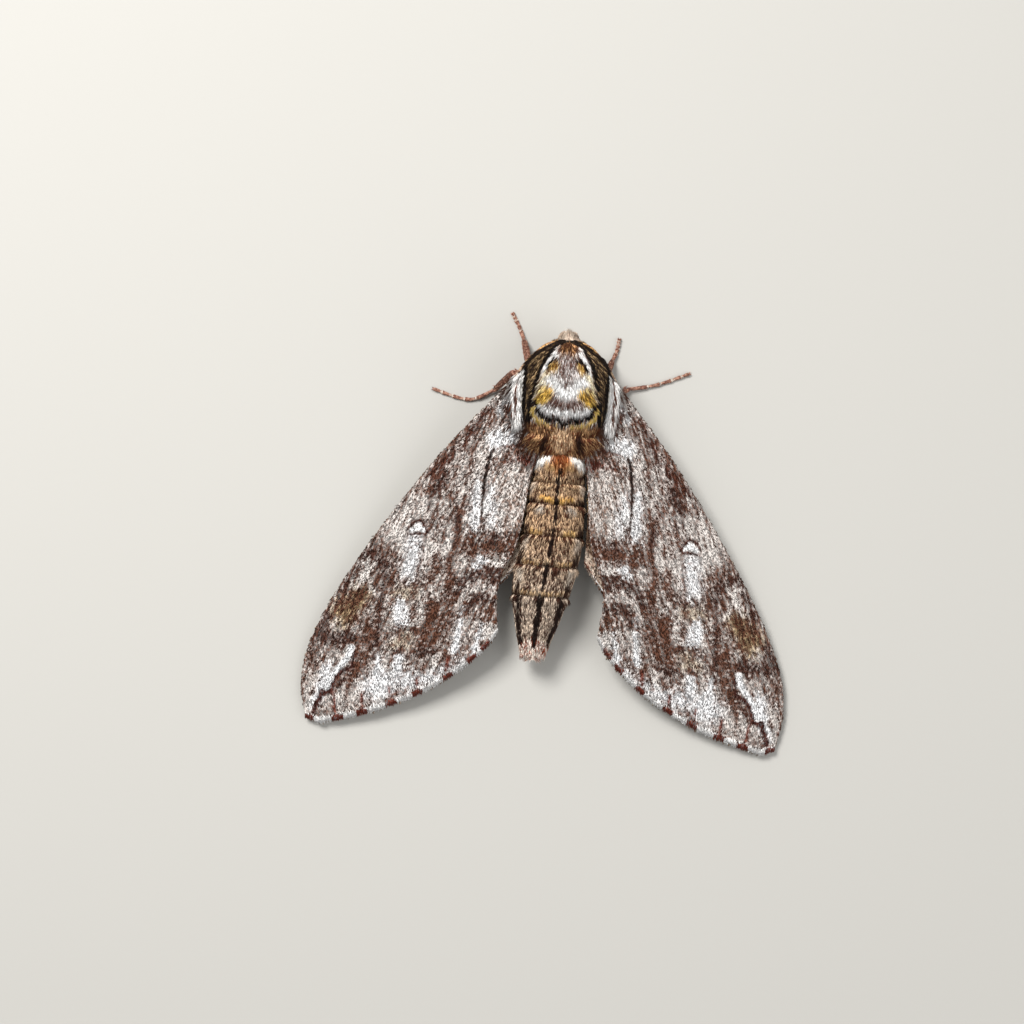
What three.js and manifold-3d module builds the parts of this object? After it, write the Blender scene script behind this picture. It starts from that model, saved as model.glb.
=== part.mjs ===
// A hawk moth at rest, life size, as a museum shows it: the wings are folded back like a low roof, the
// forewings cover all but a corner of the hindwings, the head is tucked under the front of the thorax, and
// the moth stands on the flat undersides of its six feet.
// Millimetres. +Z is up, +Y runs towards the head and +X to the moth's right. Sizes along the body are
// measured from the hind edge of the thorax's pale shield; the last lines move the middle of the whole
// moth over the origin.
import * as THREE from "three";
import { mergeVertices } from "three/addons/utils/BufferGeometryUtils.js";
import Module from "manifold-3d";

const wasm = await Module();
wasm.setup();

// ---------------------------------------------------------------- driving dimensions

const GAP = 0.12; // the thin cut between two parts that meet
const SHIELD_TO_MIDDLE = 12.27; // from the hind edge of the shield back to the middle of the whole moth

// The trunk: where its waist and the end of the tail brush are, then stations of place along the body,
// middle x, half width, top z and bottom z. The tail end leans a little to the moth's left.
const WAIST = -3.75;
const TAIL_END = -28.1;
const THORAX_STATIONS = [
  [9.15, 0, 0.65, 7.65, 6.8],
  [8.75, 0, 1.55, 8.15, 6.2],
  [8.1, 0, 2.6, 8.75, 5.5],
  [7.2, 0, 3.8, 9.3, 4.7],
  [6.1, 0, 4.75, 9.8, 3.5],
  [5.0, 0, 5.15, 10.15, 2.3],
  [4.2, 0, 5.3, 10.3, 1.8],
  [2.3, 0, 5.25, 10.4, 1.35],
  [0.6, 0, 5.0, 10.1, 1.25],
  [-1.0, 0, 4.5, 9.5, 1.4],
  [-2.6, 0, 3.85, 8.9, 1.7],
  [WAIST, 0, 3.15, 8.3, 2.1],
];
const ABDOMEN_STATIONS = [
  [WAIST, 0, 2.6, 8.1, 2.3],
  [-5, 0, 2.9, 8.5, 2.1],
  [-8, -0.1, 3.2, 8.6, 1.9],
  [-11, -0.15, 3.45, 8.4, 1.7],
  [-14, -0.3, 3.6, 8.0, 1.5],
  [-17, -0.7, 3.65, 7.5, 1.3],
  [-19.8, -1.05, 3.45, 6.9, 1.2],
  [-22.3, -1.25, 2.95, 6.0, 1.15],
  [-24.5, -1.4, 2.35, 5.2, 1.25],
  [-26.7, -1.5, 1.75, 4.4, 1.5],
  [TAIL_END, -1.6, 1.5, 3.9, 1.9],
];
const SQUARENESS = 2.2; // 2 is an ellipse, and more is fuller at the corners

// The thorax is parted across into collar, shield and hind part, and the lappets over the wing roots are
// parted from the shield along a line on each side, above a level.
const COLLAR_EDGE = 7.75;
const SHIELD_EDGE = -0.7;
const LAPPET_LINE = [[2.3, COLLAR_EDGE], [2.95, 5.6], [3.4, 3.6], [3.8, 1.8], [4.0, 0.2], [4.0, SHIELD_EDGE]];
const LAPPET_FLOOR = 5.7;

// The abdomen's rings: where each begins and ends, how much fuller each is in its middle, and how the
// brush of the tail swells and closes.
const RING_EDGES = [WAIST, -6.9, -9.3, -12.9, -16.4, -19.9, -26.7];
const RING_SWELL = 0.025;
const BRUSH_SWELL = [0.95, 1.03, 0.98, 0.8];

// The head hangs under the front of the thorax: a rounded box with a big round eye sunk in each side.
const HEAD = { y: 7.1, z: 3.9, halfSizes: [2.25, 2.35, 2.15] };
const EYE = { x: 1.95, y: 7.1, z: 3.8, radius: 1.42 };

// The two feelers sweep back from the top of the face along the side of the thorax, under the wings, and
// end in a small hook. Radii are at the start, middle and end.
const ANTENNA = {
  line: [
    [0.95, 8.8, 5.85], [2.4, 8.3, 5.65], [3.7, 7.15, 5.1], [4.9, 5.7, 4.65], [6.1, 3.4, 4.7],
    [7.4, -0.6, 4.4], [8.9, -5.0, 3.8], [9.9, -8.6, 3.3], [10.0, -9.8, 3.05],
  ],
  radii: [0.3, 0.38, 0.27],
};

// A palp is a plump upturned finger in front of the face, and the tongue is a flat coil held between the
// palps' roots, under the chin. The coil's start is an angle above straight ahead.
const PALP = {
  line: [[0.73, 8.4, 1.75], [0.71, 9.25, 2.4], [0.63, 9.7, 3.5], [0.46, 9.9, 4.75]],
  radii: [0.42, 0.56, 0.26],
};
const TONGUE = {
  y: 8.25, z: 1.35, outer: 0.95, inner: 0.32, start: 0.55 * Math.PI, turns: 1.15, radius: 0.26,
};

// The roof that the folded wings lie on. Its axis runs from the root of the forewing to its tip, and its
// slope towards the body lessens along it.
const WING_ROOT = new THREE.Vector2(5.0, 5.2);
const WING_TIP = new THREE.Vector2(27.3, -36.5);
const ROOF = {
  rootZ: 6.55, tipZ: 0.72, fall: 1.15, lean: 0.26, leanFall: 1.5, leastLean: 0.05, camber: 0.0035, ridge: 3,
};
const WING_THICKNESS = 0.54;

// Each wing's outline seen from above: the front edge from root to tip, the outer edge from tip to hind
// corner, and the inner edge from root to hind corner. The drop is how far it lies below the roof.
const FOREWING = {
  front: [
    [4.4, 5.9], [6.5, 3.7], [9.1, 0.8], [12.2, -2.8], [15.7, -7.4], [19.3, -12.6],
    [22.8, -18.1], [25.7, -23.4], [27.7, -28.5], [28.1, -32.8], [27.3, -36.5],
  ],
  outer: [
    [27.3, -36.5], [25.6, -36.9], [22.6, -36.15], [18.4, -34.7], [14.2, -32.6], [10.4, -30.0],
    [7.3, -27.0], [5.7, -24.6],
  ],
  inner: [
    [2.6, -3.7], [3.3, -7.5], [3.7, -11.5], [4.3, -15.0], [5.5, -17.8], [6.0, -20.5], [5.7, -24.6],
  ],
  drop: 0,
};
const HINDWING = {
  front: [[4.0, 1.6], [7.6, -4.6], [11.6, -11.2], [15.2, -17.6], [17.4, -21.6]],
  outer: [[17.4, -21.6], [15.2, -23.8], [11.8, -23.9], [8.4, -22.0], [5.8, -19.3], [3.55, -16.2]],
  inner: [[2.9, -3.7], [3.35, -8.0], [3.55, -12.4], [3.55, -16.2]],
  drop: 0.85,
};

// Each leg's joints: hip, knee and heel, then the foot's arch and toe, which lie along the floor. The feet
// of the middle legs lie differently on the two sides.
const FOOT_Z = 0.22;
const LEGS = {
  fore_R: [[1.7, 4.9, 3.4], [4.5, 5.0, 3.2], [5.25, 7.3, 0.55], [5.75, 8.6], [5.95, 10.0]],
  fore_L: [[-1.7, 4.9, 3.4], [-4.4, 6.2, 3.2], [-5.1, 9.0, 0.55], [-5.75, 10.5], [-6.65, 12.1]],
  mid_R: [[2.2, 2.8, 2.4], [6.0, 1.6, 3.3], [7.0, 4.2, 0.55], [10.6, 5.0], [14.4, 6.6]],
  mid_L: [[-2.2, 2.8, 2.4], [-6.0, 5.2, 3.1], [-8.1, 3.1, 0.55], [-11.1, 1.75], [-15.3, 2.7]],
  hind_R: [[2.0, -1.2, 2.7], [5.7, -3.4, 3.5], [6.6, -10.0, 0.6], [6.9, -13.6], [7.5, -17.4]],
  hind_L: [[-2.0, -1.2, 2.7], [-5.7, -3.4, 3.5], [-6.6, -10.0, 0.6], [-6.9, -13.6], [-7.5, -17.4]],
};
const FEMUR = { radii: [0.55, 0.6, 0.42], bend: 0.55, bow: 0.12 };
const TIBIA = { radii: [0.36, 0.42, 0.32] };
const TARSUS = { radii: [0.28, 0.29, 0.26] };

// How finely each form is faceted: sides round it and steps along it, or columns and rows over it.
const FACETS = {
  thorax: { sides: 22, front: [9.15, 8.95, 8.6, 8.05, 7.3, 6.4], steps: 7 },
  abdomen: { sides: 18, steps: 12, ringSteps: 3, lastRingSteps: 5 },
  head: [16, 10],
  eye: [12, 8],
  antenna: { sides: 8, steps: 13 },
  palp: { sides: 8, steps: 6 },
  tongue: { sides: 4, steps: 12, bends: 9 },
  forewing: { steps: 20, across: 7 },
  hindwing: { steps: 10, across: 6 },
  thigh: { sides: 8, steps: 3 },
  foot: { sides: 8, steps: 5 },
  roundEnd: [Math.PI / 5, Math.PI / 2.6], // how far over a tube's round end its last two rings lie
};
const FAR = 12; // beyond the thorax on every side

// ---------------------------------------------------------------- shape helpers

const at = (x, y, z) => new THREE.Vector3(x, y, z);
const evenly = (from, to, steps) =>
  Array.from({ length: steps + 1 }, (_, k) => from + ((to - from) * k) / steps);

// The value of each column at one place along a table of stations, on a smooth curve through them.
function along(stations, place) {
  const last = stations.length - 1;
  const down = stations[0][0] > stations[last][0];
  let i = 0;
  while (i < last - 1 && (down ? place < stations[i + 1][0] : place > stations[i + 1][0])) i++;
  const [low, high] = [stations[i], stations[i + 1]];
  const [before, after] = [stations[Math.max(i - 1, 0)], stations[Math.min(i + 2, last)]];
  const span = high[0] - low[0];
  const t = THREE.MathUtils.clamp((place - low[0]) / span, 0, 1);
  return low.slice(1).map((value, k) => {
    const next = high[k + 1];
    const leave = ((next - before[k + 1]) / (high[0] - before[0])) * span;
    const arrive = ((after[k + 1] - value) / (after[0] - low[0])) * span;
    return (
      value * (2 * t ** 3 - 3 * t ** 2 + 1) +
      leave * (t ** 3 - 2 * t ** 2 + t) +
      next * (3 * t ** 2 - 2 * t ** 3) +
      arrive * (t ** 3 - t ** 2)
    );
  });
}

// A closed mesh through rings of equal count, with a flat fan over each end.
function loft(rings) {
  const sides = rings[0].length;
  const middle = (ring) => ring.reduce((sum, p) => sum.add(p), at(0, 0, 0)).divideScalar(sides);
  const points = [...rings.flat(), middle(rings[0]), middle(rings[rings.length - 1])];
  const [first, last] = [points.length - 2, points.length - 1];
  const lastRing = (rings.length - 1) * sides;
  const faces = [];
  for (let s = 0; s < sides; s++) {
    const n = (s + 1) % sides;
    faces.push(first, n, s, last, lastRing + s, lastRing + n);
    for (let r = 0; r < rings.length - 1; r++) {
      const [here, there] = [r * sides, (r + 1) * sides];
      faces.push(here + s, here + n, there + n, here + s, there + n, there + s);
    }
  }
  return new THREE.BufferGeometry().setFromPoints(points).setIndex(faces);
}

// A geometry as a manifold-3d solid, turned right way out.
function solid(geometry) {
  const bare = new THREE.BufferGeometry().setAttribute("position", geometry.getAttribute("position"));
  if (geometry.index) bare.setIndex(geometry.index);
  const merged = mergeVertices(bare, 1e-4);
  const mesh = (triVerts) =>
    new wasm.Manifold(
      new wasm.Mesh({ numProp: 3, vertProperties: merged.attributes.position.array, triVerts }),
    );
  const faces = new Uint32Array(merged.index.array);
  const made = mesh(faces);
  return made.volume() > 0 ? made : mesh(faces.reverse());
}

// The largest body of a solid as a geometry, so that a cut leaves no loose crumbs.
function geometryOf(made) {
  const largest = made.decompose().sort((a, b) => b.volume() - a.volume())[0];
  const mesh = largest.getMesh();
  return new THREE.BufferGeometry()
    .setAttribute("position", new THREE.BufferAttribute(new Float32Array(mesh.vertProperties), 3))
    .setIndex(new THREE.BufferAttribute(mesh.triVerts, 1));
}

const cut = (made, ...others) => others.reduce((left, other) => left.subtract(other), made);

// ---------------------------------------------------------------- the trunk

// One ring round the trunk, larger all round by grow, or by the factor swell.
function trunkRing(stations, place, sides, grow = 0, swell = 1) {
  const [middle, half, top, bottom] = along(stations, place);
  const height = (top + bottom) / 2;
  const round = (value) => Math.sign(value) * Math.abs(value) ** (2 / SQUARENESS);
  return Array.from({ length: sides }, (_, k) => {
    const angle = (k / sides) * 2 * Math.PI;
    return at(
      middle + (half * swell + grow) * round(Math.cos(angle)),
      place,
      height + (((top - bottom) / 2) * swell + grow) * round(Math.sin(angle)),
    );
  });
}

// The thorax's rings lie closer together where its front rounds over.
function thoraxSolid(grow) {
  const { sides, front, steps } = FACETS.thorax;
  const places = [...front, ...evenly(front.at(-1), WAIST, steps).slice(1)];
  return solid(loft(places.map((place) => trunkRing(THORAX_STATIONS, place, sides, grow))));
}

function abdomenSolid(grow) {
  const { sides, steps } = FACETS.abdomen;
  const places = evenly(WAIST, TAIL_END, steps);
  return solid(loft(places.map((place) => trunkRing(ABDOMEN_STATIONS, place, sides, grow))));
}

// One ring of the abdomen, between two places, fuller in its middle.
function ringSolid(front, back, steps) {
  const rings = evenly(0, 1, steps).map((t) => {
    const swell = 1 + RING_SWELL * Math.sin(Math.PI * t);
    const place = THREE.MathUtils.lerp(front, back, t);
    return trunkRing(ABDOMEN_STATIONS, place, FACETS.abdomen.sides, 0, swell);
  });
  return solid(loft(rings));
}

function brushSolid() {
  const places = evenly(RING_EDGES.at(-1) - GAP, TAIL_END, BRUSH_SWELL.length - 1);
  const rings = places.map((place, k) =>
    trunkRing(ABDOMEN_STATIONS, place, FACETS.abdomen.sides, 0, BRUSH_SWELL[k]),
  );
  return solid(loft(rings));
}

// A block over a shape drawn on the floor, between two heights.
function block(corners, low, high) {
  const shape = new THREE.Shape(corners.map((p) => new THREE.Vector2(...p)));
  const geometry = new THREE.ExtrudeGeometry(shape, { depth: high - low, bevelEnabled: false });
  return solid(geometry.translate(0, 0, low));
}

const slice = (from, to) => block([[-FAR, to], [FAR, to], [FAR, from], [-FAR, from]], 0, FAR);

// The space that holds one lappet: outside its line on the shield and above its level.
function lappetBlock(side, grow) {
  const line = LAPPET_LINE.map(([x, y]) => [side * (x - grow), y]);
  line[0][1] += grow;
  line.at(-1)[1] -= grow;
  const outside = [[side * FAR, line.at(-1)[1]], [side * FAR, line[0][1]]];
  return block([...line, ...outside], LAPPET_FLOOR - grow, FAR);
}

// ---------------------------------------------------------------- the head

function ball(halfSizes, centre, detail) {
  const round = new THREE.SphereGeometry(1, ...detail).rotateX(Math.PI / 2);
  return solid(round.scale(...halfSizes).translate(...centre));
}

const headSolid = (grow) =>
  ball(HEAD.halfSizes.map((half) => half + grow), [0, HEAD.y, HEAD.z], FACETS.head);
const eyeSolid = (side, grow) =>
  ball(Array(3).fill(EYE.radius + grow), [side * EYE.x, EYE.y, EYE.z], FACETS.eye);

// A tapering tube along a smooth line through points, with a radius at its start, middle and end, and a
// flat or a round end. Nothing of it goes below the floor, so that a foot has a flat sole.
function tube(points, radii, { sides, steps }, roundEnd = false) {
  const line = new THREE.CatmullRomCurve3(points, false, "centripetal");
  const radiusAt = (t) => along([[0, radii[0]], [0.5, radii[1]], [1, radii[2]]], t)[0];
  const ring = (t, ahead, radius) => {
    const tangent = line.getTangentAt(t);
    const centre = line.getPointAt(t).addScaledVector(tangent, ahead);
    const across = new THREE.Vector3().crossVectors(tangent, at(0, 0, 1)).normalize();
    const up = new THREE.Vector3().crossVectors(across, tangent);
    return Array.from({ length: sides }, (_, k) => {
      const angle = ((k + 0.5) / sides) * 2 * Math.PI;
      const point = centre
        .clone()
        .addScaledVector(across, radius * Math.cos(angle))
        .addScaledVector(up, radius * Math.sin(angle));
      point.z = Math.max(point.z, 0);
      return point;
    });
  };
  const dome = roundEnd ? FACETS.roundEnd : [];
  const rings = [
    ...evenly(0, 1, steps).map((t) => ring(t, 0, radiusAt(t))),
    ...dome.map((angle) => ring(1, radii[2] * Math.sin(angle), radii[2] * Math.cos(angle))),
  ];
  return solid(loft(rings));
}

const onSide = (line, side) => line.map(([x, y, z]) => at(side * x, y, z));
const antennaSolid = (side) => tube(onSide(ANTENNA.line, side), ANTENNA.radii, FACETS.antenna);
const palpSolid = (side) => tube(onSide(PALP.line, side), PALP.radii, FACETS.palp);

function tongueSolid() {
  const { sides, steps, bends } = FACETS.tongue;
  const points = evenly(0, 1, bends).map((t) => {
    const radius = THREE.MathUtils.lerp(TONGUE.outer, TONGUE.inner, t);
    const angle = TONGUE.start - t * TONGUE.turns * 2 * Math.PI;
    return at(0, TONGUE.y + radius * Math.cos(angle), TONGUE.z + radius * Math.sin(angle));
  });
  const extrudePath = new THREE.CatmullRomCurve3(points);
  const section = new THREE.Shape().absarc(0, 0, TONGUE.radius, 0, 2 * Math.PI);
  return solid(new THREE.ExtrudeGeometry(section, { steps, curveSegments: sides, extrudePath }));
}

// ---------------------------------------------------------------- the wings

// How high the roof is over one place on the floor.
function roof(x, y) {
  const axis = WING_TIP.clone().sub(WING_ROOT);
  const span = axis.length();
  const offset = new THREE.Vector2(x, y).sub(WING_ROOT);
  const share = THREE.MathUtils.clamp(offset.dot(axis) / span ** 2, 0, 1);
  const inward = -(offset.x * -axis.y + offset.y * axis.x) / span; // from the front edge to the body
  const left = 1 - share;
  return (
    ROOF.tipZ +
    (ROOF.rootZ - ROOF.tipZ) * left ** ROOF.fall +
    (ROOF.lean * left ** ROOF.leanFall + ROOF.leastLean) * inward -
    ROOF.camber * (inward - ROOF.ridge) ** 2
  );
}

// A solid sheet that follows the roof inside a wing's outline, on a grid between its four edges.
function wingSolid(wing, side, { steps, across }) {
  const curve = (points) => new THREE.SplineCurve(points.map((p) => new THREE.Vector2(...p)));
  const [front, outer, inner] = [wing.front, wing.outer, wing.inner].map(curve);
  const root = new THREE.LineCurve(front.getPoint(0), inner.getPoint(0));
  const corner = [root.getPoint(0), root.getPoint(1), outer.getPoint(0), outer.getPoint(1)];
  const place = (u, v) =>
    new THREE.Vector2()
      .addScaledVector(front.getPoint(u), 1 - v)
      .addScaledVector(inner.getPoint(u), v)
      .addScaledVector(root.getPoint(v), 1 - u)
      .addScaledVector(outer.getPoint(v), u)
      .addScaledVector(corner[0], -(1 - u) * (1 - v))
      .addScaledVector(corner[1], -(1 - u) * v)
      .addScaledVector(corner[2], -u * (1 - v))
      .addScaledVector(corner[3], -u * v);
  // Each ring goes once round the sheet's section, out along its upper face and back along its lower one.
  const rings = evenly(0, 1, steps).map((u) => {
    const line = evenly(0, 1, across).map((v) => {
      const p = place(u, v);
      return at(side * p.x, p.y, roof(p.x, p.y) - wing.drop);
    });
    const lift = (p, by) => p.clone().add(at(0, 0, by));
    return [
      ...line.map((p) => lift(p, WING_THICKNESS / 2)),
      ...line.reverse().map((p) => lift(p, -WING_THICKNESS / 2)),
    ];
  });
  return solid(loft(rings));
}

// ---------------------------------------------------------------- the legs

// A length of leg with a round joint at its far end, larger all round by grow.
const lengthOfLeg = (points, radii, facets, grow) =>
  tube(points, radii.map((radius) => radius + grow), facets, true);

// The three lengths of a leg. Each one's start is hollowed to fit the joint before it.
function legSolids(joints) {
  const [hip, knee, heel, arch, toe] = joints.map(([x, y, z = FOOT_Z]) => at(x, y, z));
  const thigh = [hip, hip.clone().lerp(knee, FEMUR.bend).add(at(0, 0, FEMUR.bow)), knee];
  const shin = [knee, knee.clone().lerp(heel, 0.5), heel];
  const foot = [heel, arch, toe];
  return {
    femur: lengthOfLeg(thigh, FEMUR.radii, FACETS.thigh, 0),
    tibia: cut(
      lengthOfLeg(shin, TIBIA.radii, FACETS.thigh, 0),
      lengthOfLeg(thigh, FEMUR.radii, FACETS.thigh, GAP),
    ),
    tarsus: cut(
      lengthOfLeg(foot, TARSUS.radii, FACETS.foot, 0),
      lengthOfLeg(shin, TIBIA.radii, FACETS.thigh, GAP),
    ),
  };
}

// ---------------------------------------------------------------- assembly

const finish = (color, roughness = 0.9) =>
  new THREE.MeshStandardMaterial({ color, roughness, metalness: 0 });
const FINISHES = {
  dark: finish(0x33261a),
  shield: finish(0xc4bcb2),
  brown: finish(0x7a5b40),
  belly: finish(0x8a6f50),
  wing: finish(0xa8968a),
  hindwing: finish(0x6e5648),
  leg: finish(0x6b3f2c),
  eye: finish(0x241a14, 0.2),
  rust: finish(0xa8643c),
};

const moth = new THREE.Group();
function add(name, made, look) {
  const mesh = new THREE.Mesh(geometryOf(made), FINISHES[look]);
  mesh.name = name;
  moth.add(mesh);
}

const SIDES = { R: 1, L: -1 };
const bothSides = Object.values(SIDES);
const eyesGrown = bothSides.map((side) => eyeSolid(side, GAP));
const headAndEyesGrown = eyesGrown.reduce((all, eye) => all.add(eye), headSolid(GAP));
const thoraxGrown = thoraxSolid(GAP);
const abdomenGrown = abdomenSolid(GAP);

// The thorax, parted by thin cuts into collar, shield, lappets and hind part.
const trunk = cut(thoraxSolid(0), headAndEyesGrown);
const middle = trunk.intersect(slice(SHIELD_EDGE, COLLAR_EDGE));
add("collar", trunk.intersect(slice(COLLAR_EDGE + GAP, FAR)), "dark");
add("thorax", cut(middle, ...bothSides.map((side) => lappetBlock(side, GAP))), "shield");
add("metathorax", trunk.intersect(slice(-FAR, SHIELD_EDGE - GAP)), "brown");
for (const [letter, side] of Object.entries(SIDES)) {
  add(`tegula_${letter}`, middle.intersect(lappetBlock(side, 0)), "dark");
}

// The head and what it carries.
add("head", cut(headSolid(0), ...eyesGrown), "brown");
for (const [letter, side] of Object.entries(SIDES)) {
  add(`eye_${letter}`, eyeSolid(side, 0), "eye");
  add(`palp_${letter}`, cut(palpSolid(side), headAndEyesGrown), "brown");
  add(`antenna_${letter}`, cut(antennaSolid(side), headAndEyesGrown, thoraxGrown), "rust");
}
const palps = bothSides.map(palpSolid);
add("proboscis", cut(tongueSolid(), headAndEyesGrown, thoraxGrown, ...palps), "rust");

// The abdomen's rings, the last of them longer, and the brush at the tail.
const lastRing = RING_EDGES.length - 1;
for (let k = 1; k <= lastRing; k++) {
  const steps = k === lastRing ? FACETS.abdomen.lastRingSteps : FACETS.abdomen.ringSteps;
  add(`abdomen_${k}`, ringSolid(RING_EDGES[k - 1] - GAP, RING_EDGES[k], steps), "belly");
}
add("tail_tuft", brushSolid(), "rust");

// The wings, cut where their roots meet the thorax.
for (const [letter, side] of Object.entries(SIDES)) {
  const [forewing, hindwing] = [
    wingSolid(FOREWING, side, FACETS.forewing),
    wingSolid(HINDWING, side, FACETS.hindwing),
  ];
  add(`forewing_${letter}`, cut(forewing, thoraxGrown, abdomenGrown), "wing");
  add(`hindwing_${letter}`, cut(hindwing, thoraxGrown, abdomenGrown), "hindwing");
}

// The legs, cut where their hips meet the thorax.
for (const [leg, joints] of Object.entries(LEGS)) {
  for (const [length, made] of Object.entries(legSolids(joints))) {
    add(`leg_${leg}_${length}`, cut(made, thoraxGrown, headAndEyesGrown), "leg");
  }
}

moth.position.y = SHIELD_TO_MIDDLE;
export default moth;
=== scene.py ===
import math

import bmesh
import bpy
import numpy as np
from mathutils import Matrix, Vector


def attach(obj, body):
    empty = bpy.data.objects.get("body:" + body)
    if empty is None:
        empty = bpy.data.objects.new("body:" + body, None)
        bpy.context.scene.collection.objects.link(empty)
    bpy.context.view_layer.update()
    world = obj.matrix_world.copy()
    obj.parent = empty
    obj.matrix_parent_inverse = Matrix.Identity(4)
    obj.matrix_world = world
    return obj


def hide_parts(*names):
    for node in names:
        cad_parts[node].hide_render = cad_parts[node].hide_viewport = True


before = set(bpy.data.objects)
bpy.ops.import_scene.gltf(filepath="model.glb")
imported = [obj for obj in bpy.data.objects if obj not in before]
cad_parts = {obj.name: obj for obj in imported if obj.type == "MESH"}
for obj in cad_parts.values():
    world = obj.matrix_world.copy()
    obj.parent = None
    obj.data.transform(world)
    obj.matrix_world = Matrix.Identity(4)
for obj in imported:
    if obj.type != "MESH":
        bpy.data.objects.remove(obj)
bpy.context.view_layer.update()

# ---------------------------------------------------------------- the trunk: its skin
# The trunk is one jointed shell of hard skin: a broad thorax full of flight muscle, a head set low under its
# front edge, and a long abdomen of overlapping rings, bent a little to one side. All of it is made as one
# closed skin that lies deeper than the fur by the fur's own depth.

MM = 0.001
MIDDLE = 12.27  # mm from the hind edge of the thorax's shield back to the middle of the whole moth
SIDES = {"R": 1, "L": -1}

# Stations along the trunk from front to back: y, the middle's x, half the width, top and bottom, in mm.
THORAX = [
    (9.15, 0, 0.65, 7.65, 6.8), (8.75, 0, 1.55, 8.15, 6.2), (8.1, 0, 2.6, 8.75, 5.5), (7.2, 0, 3.8, 9.3, 4.7),
    (6.1, 0, 4.75, 9.8, 3.5), (5.0, 0, 5.15, 10.15, 2.3), (4.2, 0, 5.3, 10.3, 1.8), (2.3, 0, 5.25, 10.4, 1.35),
    (0.6, 0, 5.0, 10.1, 1.25), (-1.0, 0, 4.5, 9.5, 1.4), (-2.6, 0, 3.85, 8.9, 1.7), (-3.75, 0, 3.15, 8.3, 2.1),
]
ABDOMEN = [
    (-3.75, 0, 2.6, 8.1, 2.3), (-5, 0, 2.9, 8.5, 2.1), (-8, -0.1, 3.2, 8.6, 1.9), (-11, -0.15, 3.45, 8.4, 1.7),
    (-14, -0.3, 3.6, 8.0, 1.5), (-17, -0.7, 3.65, 7.5, 1.3), (-19.8, -1.05, 3.45, 6.9, 1.2),
    (-22.3, -1.25, 2.95, 6.0, 1.15), (-24.5, -1.4, 2.35, 5.2, 1.25), (-26.7, -1.5, 1.75, 4.4, 1.5),
    (-28.1, -1.6, 1.5, 3.9, 1.9),
]
SQUARENESS = 2.2
RING_EDGES = (-6.9, -9.3, -12.9, -16.4, -19.9)
RING_GROOVE, RING_GROOVE_HALF = 0.26, 0.32
HEAD_MIDDLE, HEAD_RADII = np.array([0, 7.1, 3.9]), np.array([2.25, 2.35, 2.15])
THORAX_FUR, ABDOMEN_FUR, HEAD_FUR = 0.5, 0.26, 0.28  # depth of the fur
THORAX_ROUNDING, THORAX_ROUNDED = 2.2, 0.12  # how far its skin draws in at both ends, over this share of it
THORAX_OVERLAP, ABDOMEN_OVERLAP = 0.9, 1.5  # how far each runs on into the other
ABDOMEN_ROUNDED, TAIL_END = 0.03, -27.3
BODY_VOXEL = 0.16
SKIN_PAINTED_SHADE = 0.7  # painted shade: the skin under the coat is painted darker than the coat over it


def trunk_point(stations, place, angle, inset=0.0):
    """A place on a trunk given by stations: place along it from the shield's edge, and angle round it."""
    table, place = np.array(stations), np.asarray(place, float)
    i = np.clip(np.searchsorted(-table[:, 0], -place, side="right") - 1, 0, len(table) - 2)
    low, high = table[i], table[i + 1]
    before, after = table[np.maximum(i - 1, 0)], table[np.minimum(i + 2, len(table) - 1)]
    span = high[:, :1] - low[:, :1]
    t = np.clip((place[:, None] - low[:, :1]) / span, 0, 1)
    leave = (high - before) / (high[:, :1] - before[:, :1]) * span
    arrive = (after - low) / (after[:, :1] - low[:, :1]) * span
    curve = (low * (2 * t**3 - 3 * t**2 + 1) + leave * (t**3 - 2 * t**2 + t) + high * (3 * t**2 - 2 * t**3)
             + arrive * (t**3 - t**2))
    middle, half, top, bottom = curve[:, 1:].T
    cos, sin = np.cos(angle), np.sin(angle)
    x = middle + (half - inset) * np.sign(cos) * np.abs(cos) ** (2 / SQUARENESS)
    z = (top + bottom) / 2 + ((top - bottom) / 2 - inset) * np.sign(sin) * np.abs(sin) ** (2 / SQUARENESS)
    return np.stack([x, place, z], axis=-1)


def ring_inset(place):
    """The depth of the abdomen's skin under its outline: rings that swell, with a groove at each joint."""
    groove = sum(np.exp(-(((place - edge + 0.1) / RING_GROOVE_HALF) ** 2)) for edge in RING_EDGES)
    return ABDOMEN_FUR + RING_GROOVE * groove


def capped(share, cap):
    """Radius from 0 at both ends of a shape to 1 a share cap from each, as on a rounded end."""
    near = np.clip(np.minimum(share, 1 - share) / cap, 0, 1)
    return np.sqrt(1 - (1 - near) ** 2)


def placed(points, side=1):
    """Points in mm, with y from the shield's hind edge, as metres in the moth's own frame."""
    return (np.asarray(points) * (side, 1, 1) + (0, MIDDLE, 0)) * MM


def in_mm(places):
    """Metres in the moth's frame as mm with y from the shield's hind edge."""
    return places / MM - (0, MIDDLE, 0)


def moved_sphere(bm, around, lengthwise, shape):
    """Adds a sphere to bm, its vertices moved to shape(share from pole to pole, angle round), in mm."""
    made = bmesh.ops.create_uvsphere(bm, u_segments=around, v_segments=lengthwise, radius=1.0)["verts"]
    flat = np.array([vert.co[:] for vert in made])
    share = np.arccos(np.clip(flat[:, 2], -1, 1)) / math.pi
    places = placed(shape(share, np.arctan2(flat[:, 1], flat[:, 0])))
    for vert, place in zip(made, places):
        vert.co = place


def thorax_skin(share, angle):
    """The thorax's skin, share from its front end to its rear one."""
    front, rear = THORAX[0][0], THORAX[-1][0]
    place = front - 0.25 - share * (front - rear + THORAX_OVERLAP)
    inset = THORAX_FUR + THORAX_ROUNDING * (1 - capped(share, THORAX_ROUNDED))
    point = trunk_point(THORAX, np.maximum(place, rear), angle, inset)
    point[:, 1] += np.minimum(place - rear, 0)
    return point


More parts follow.
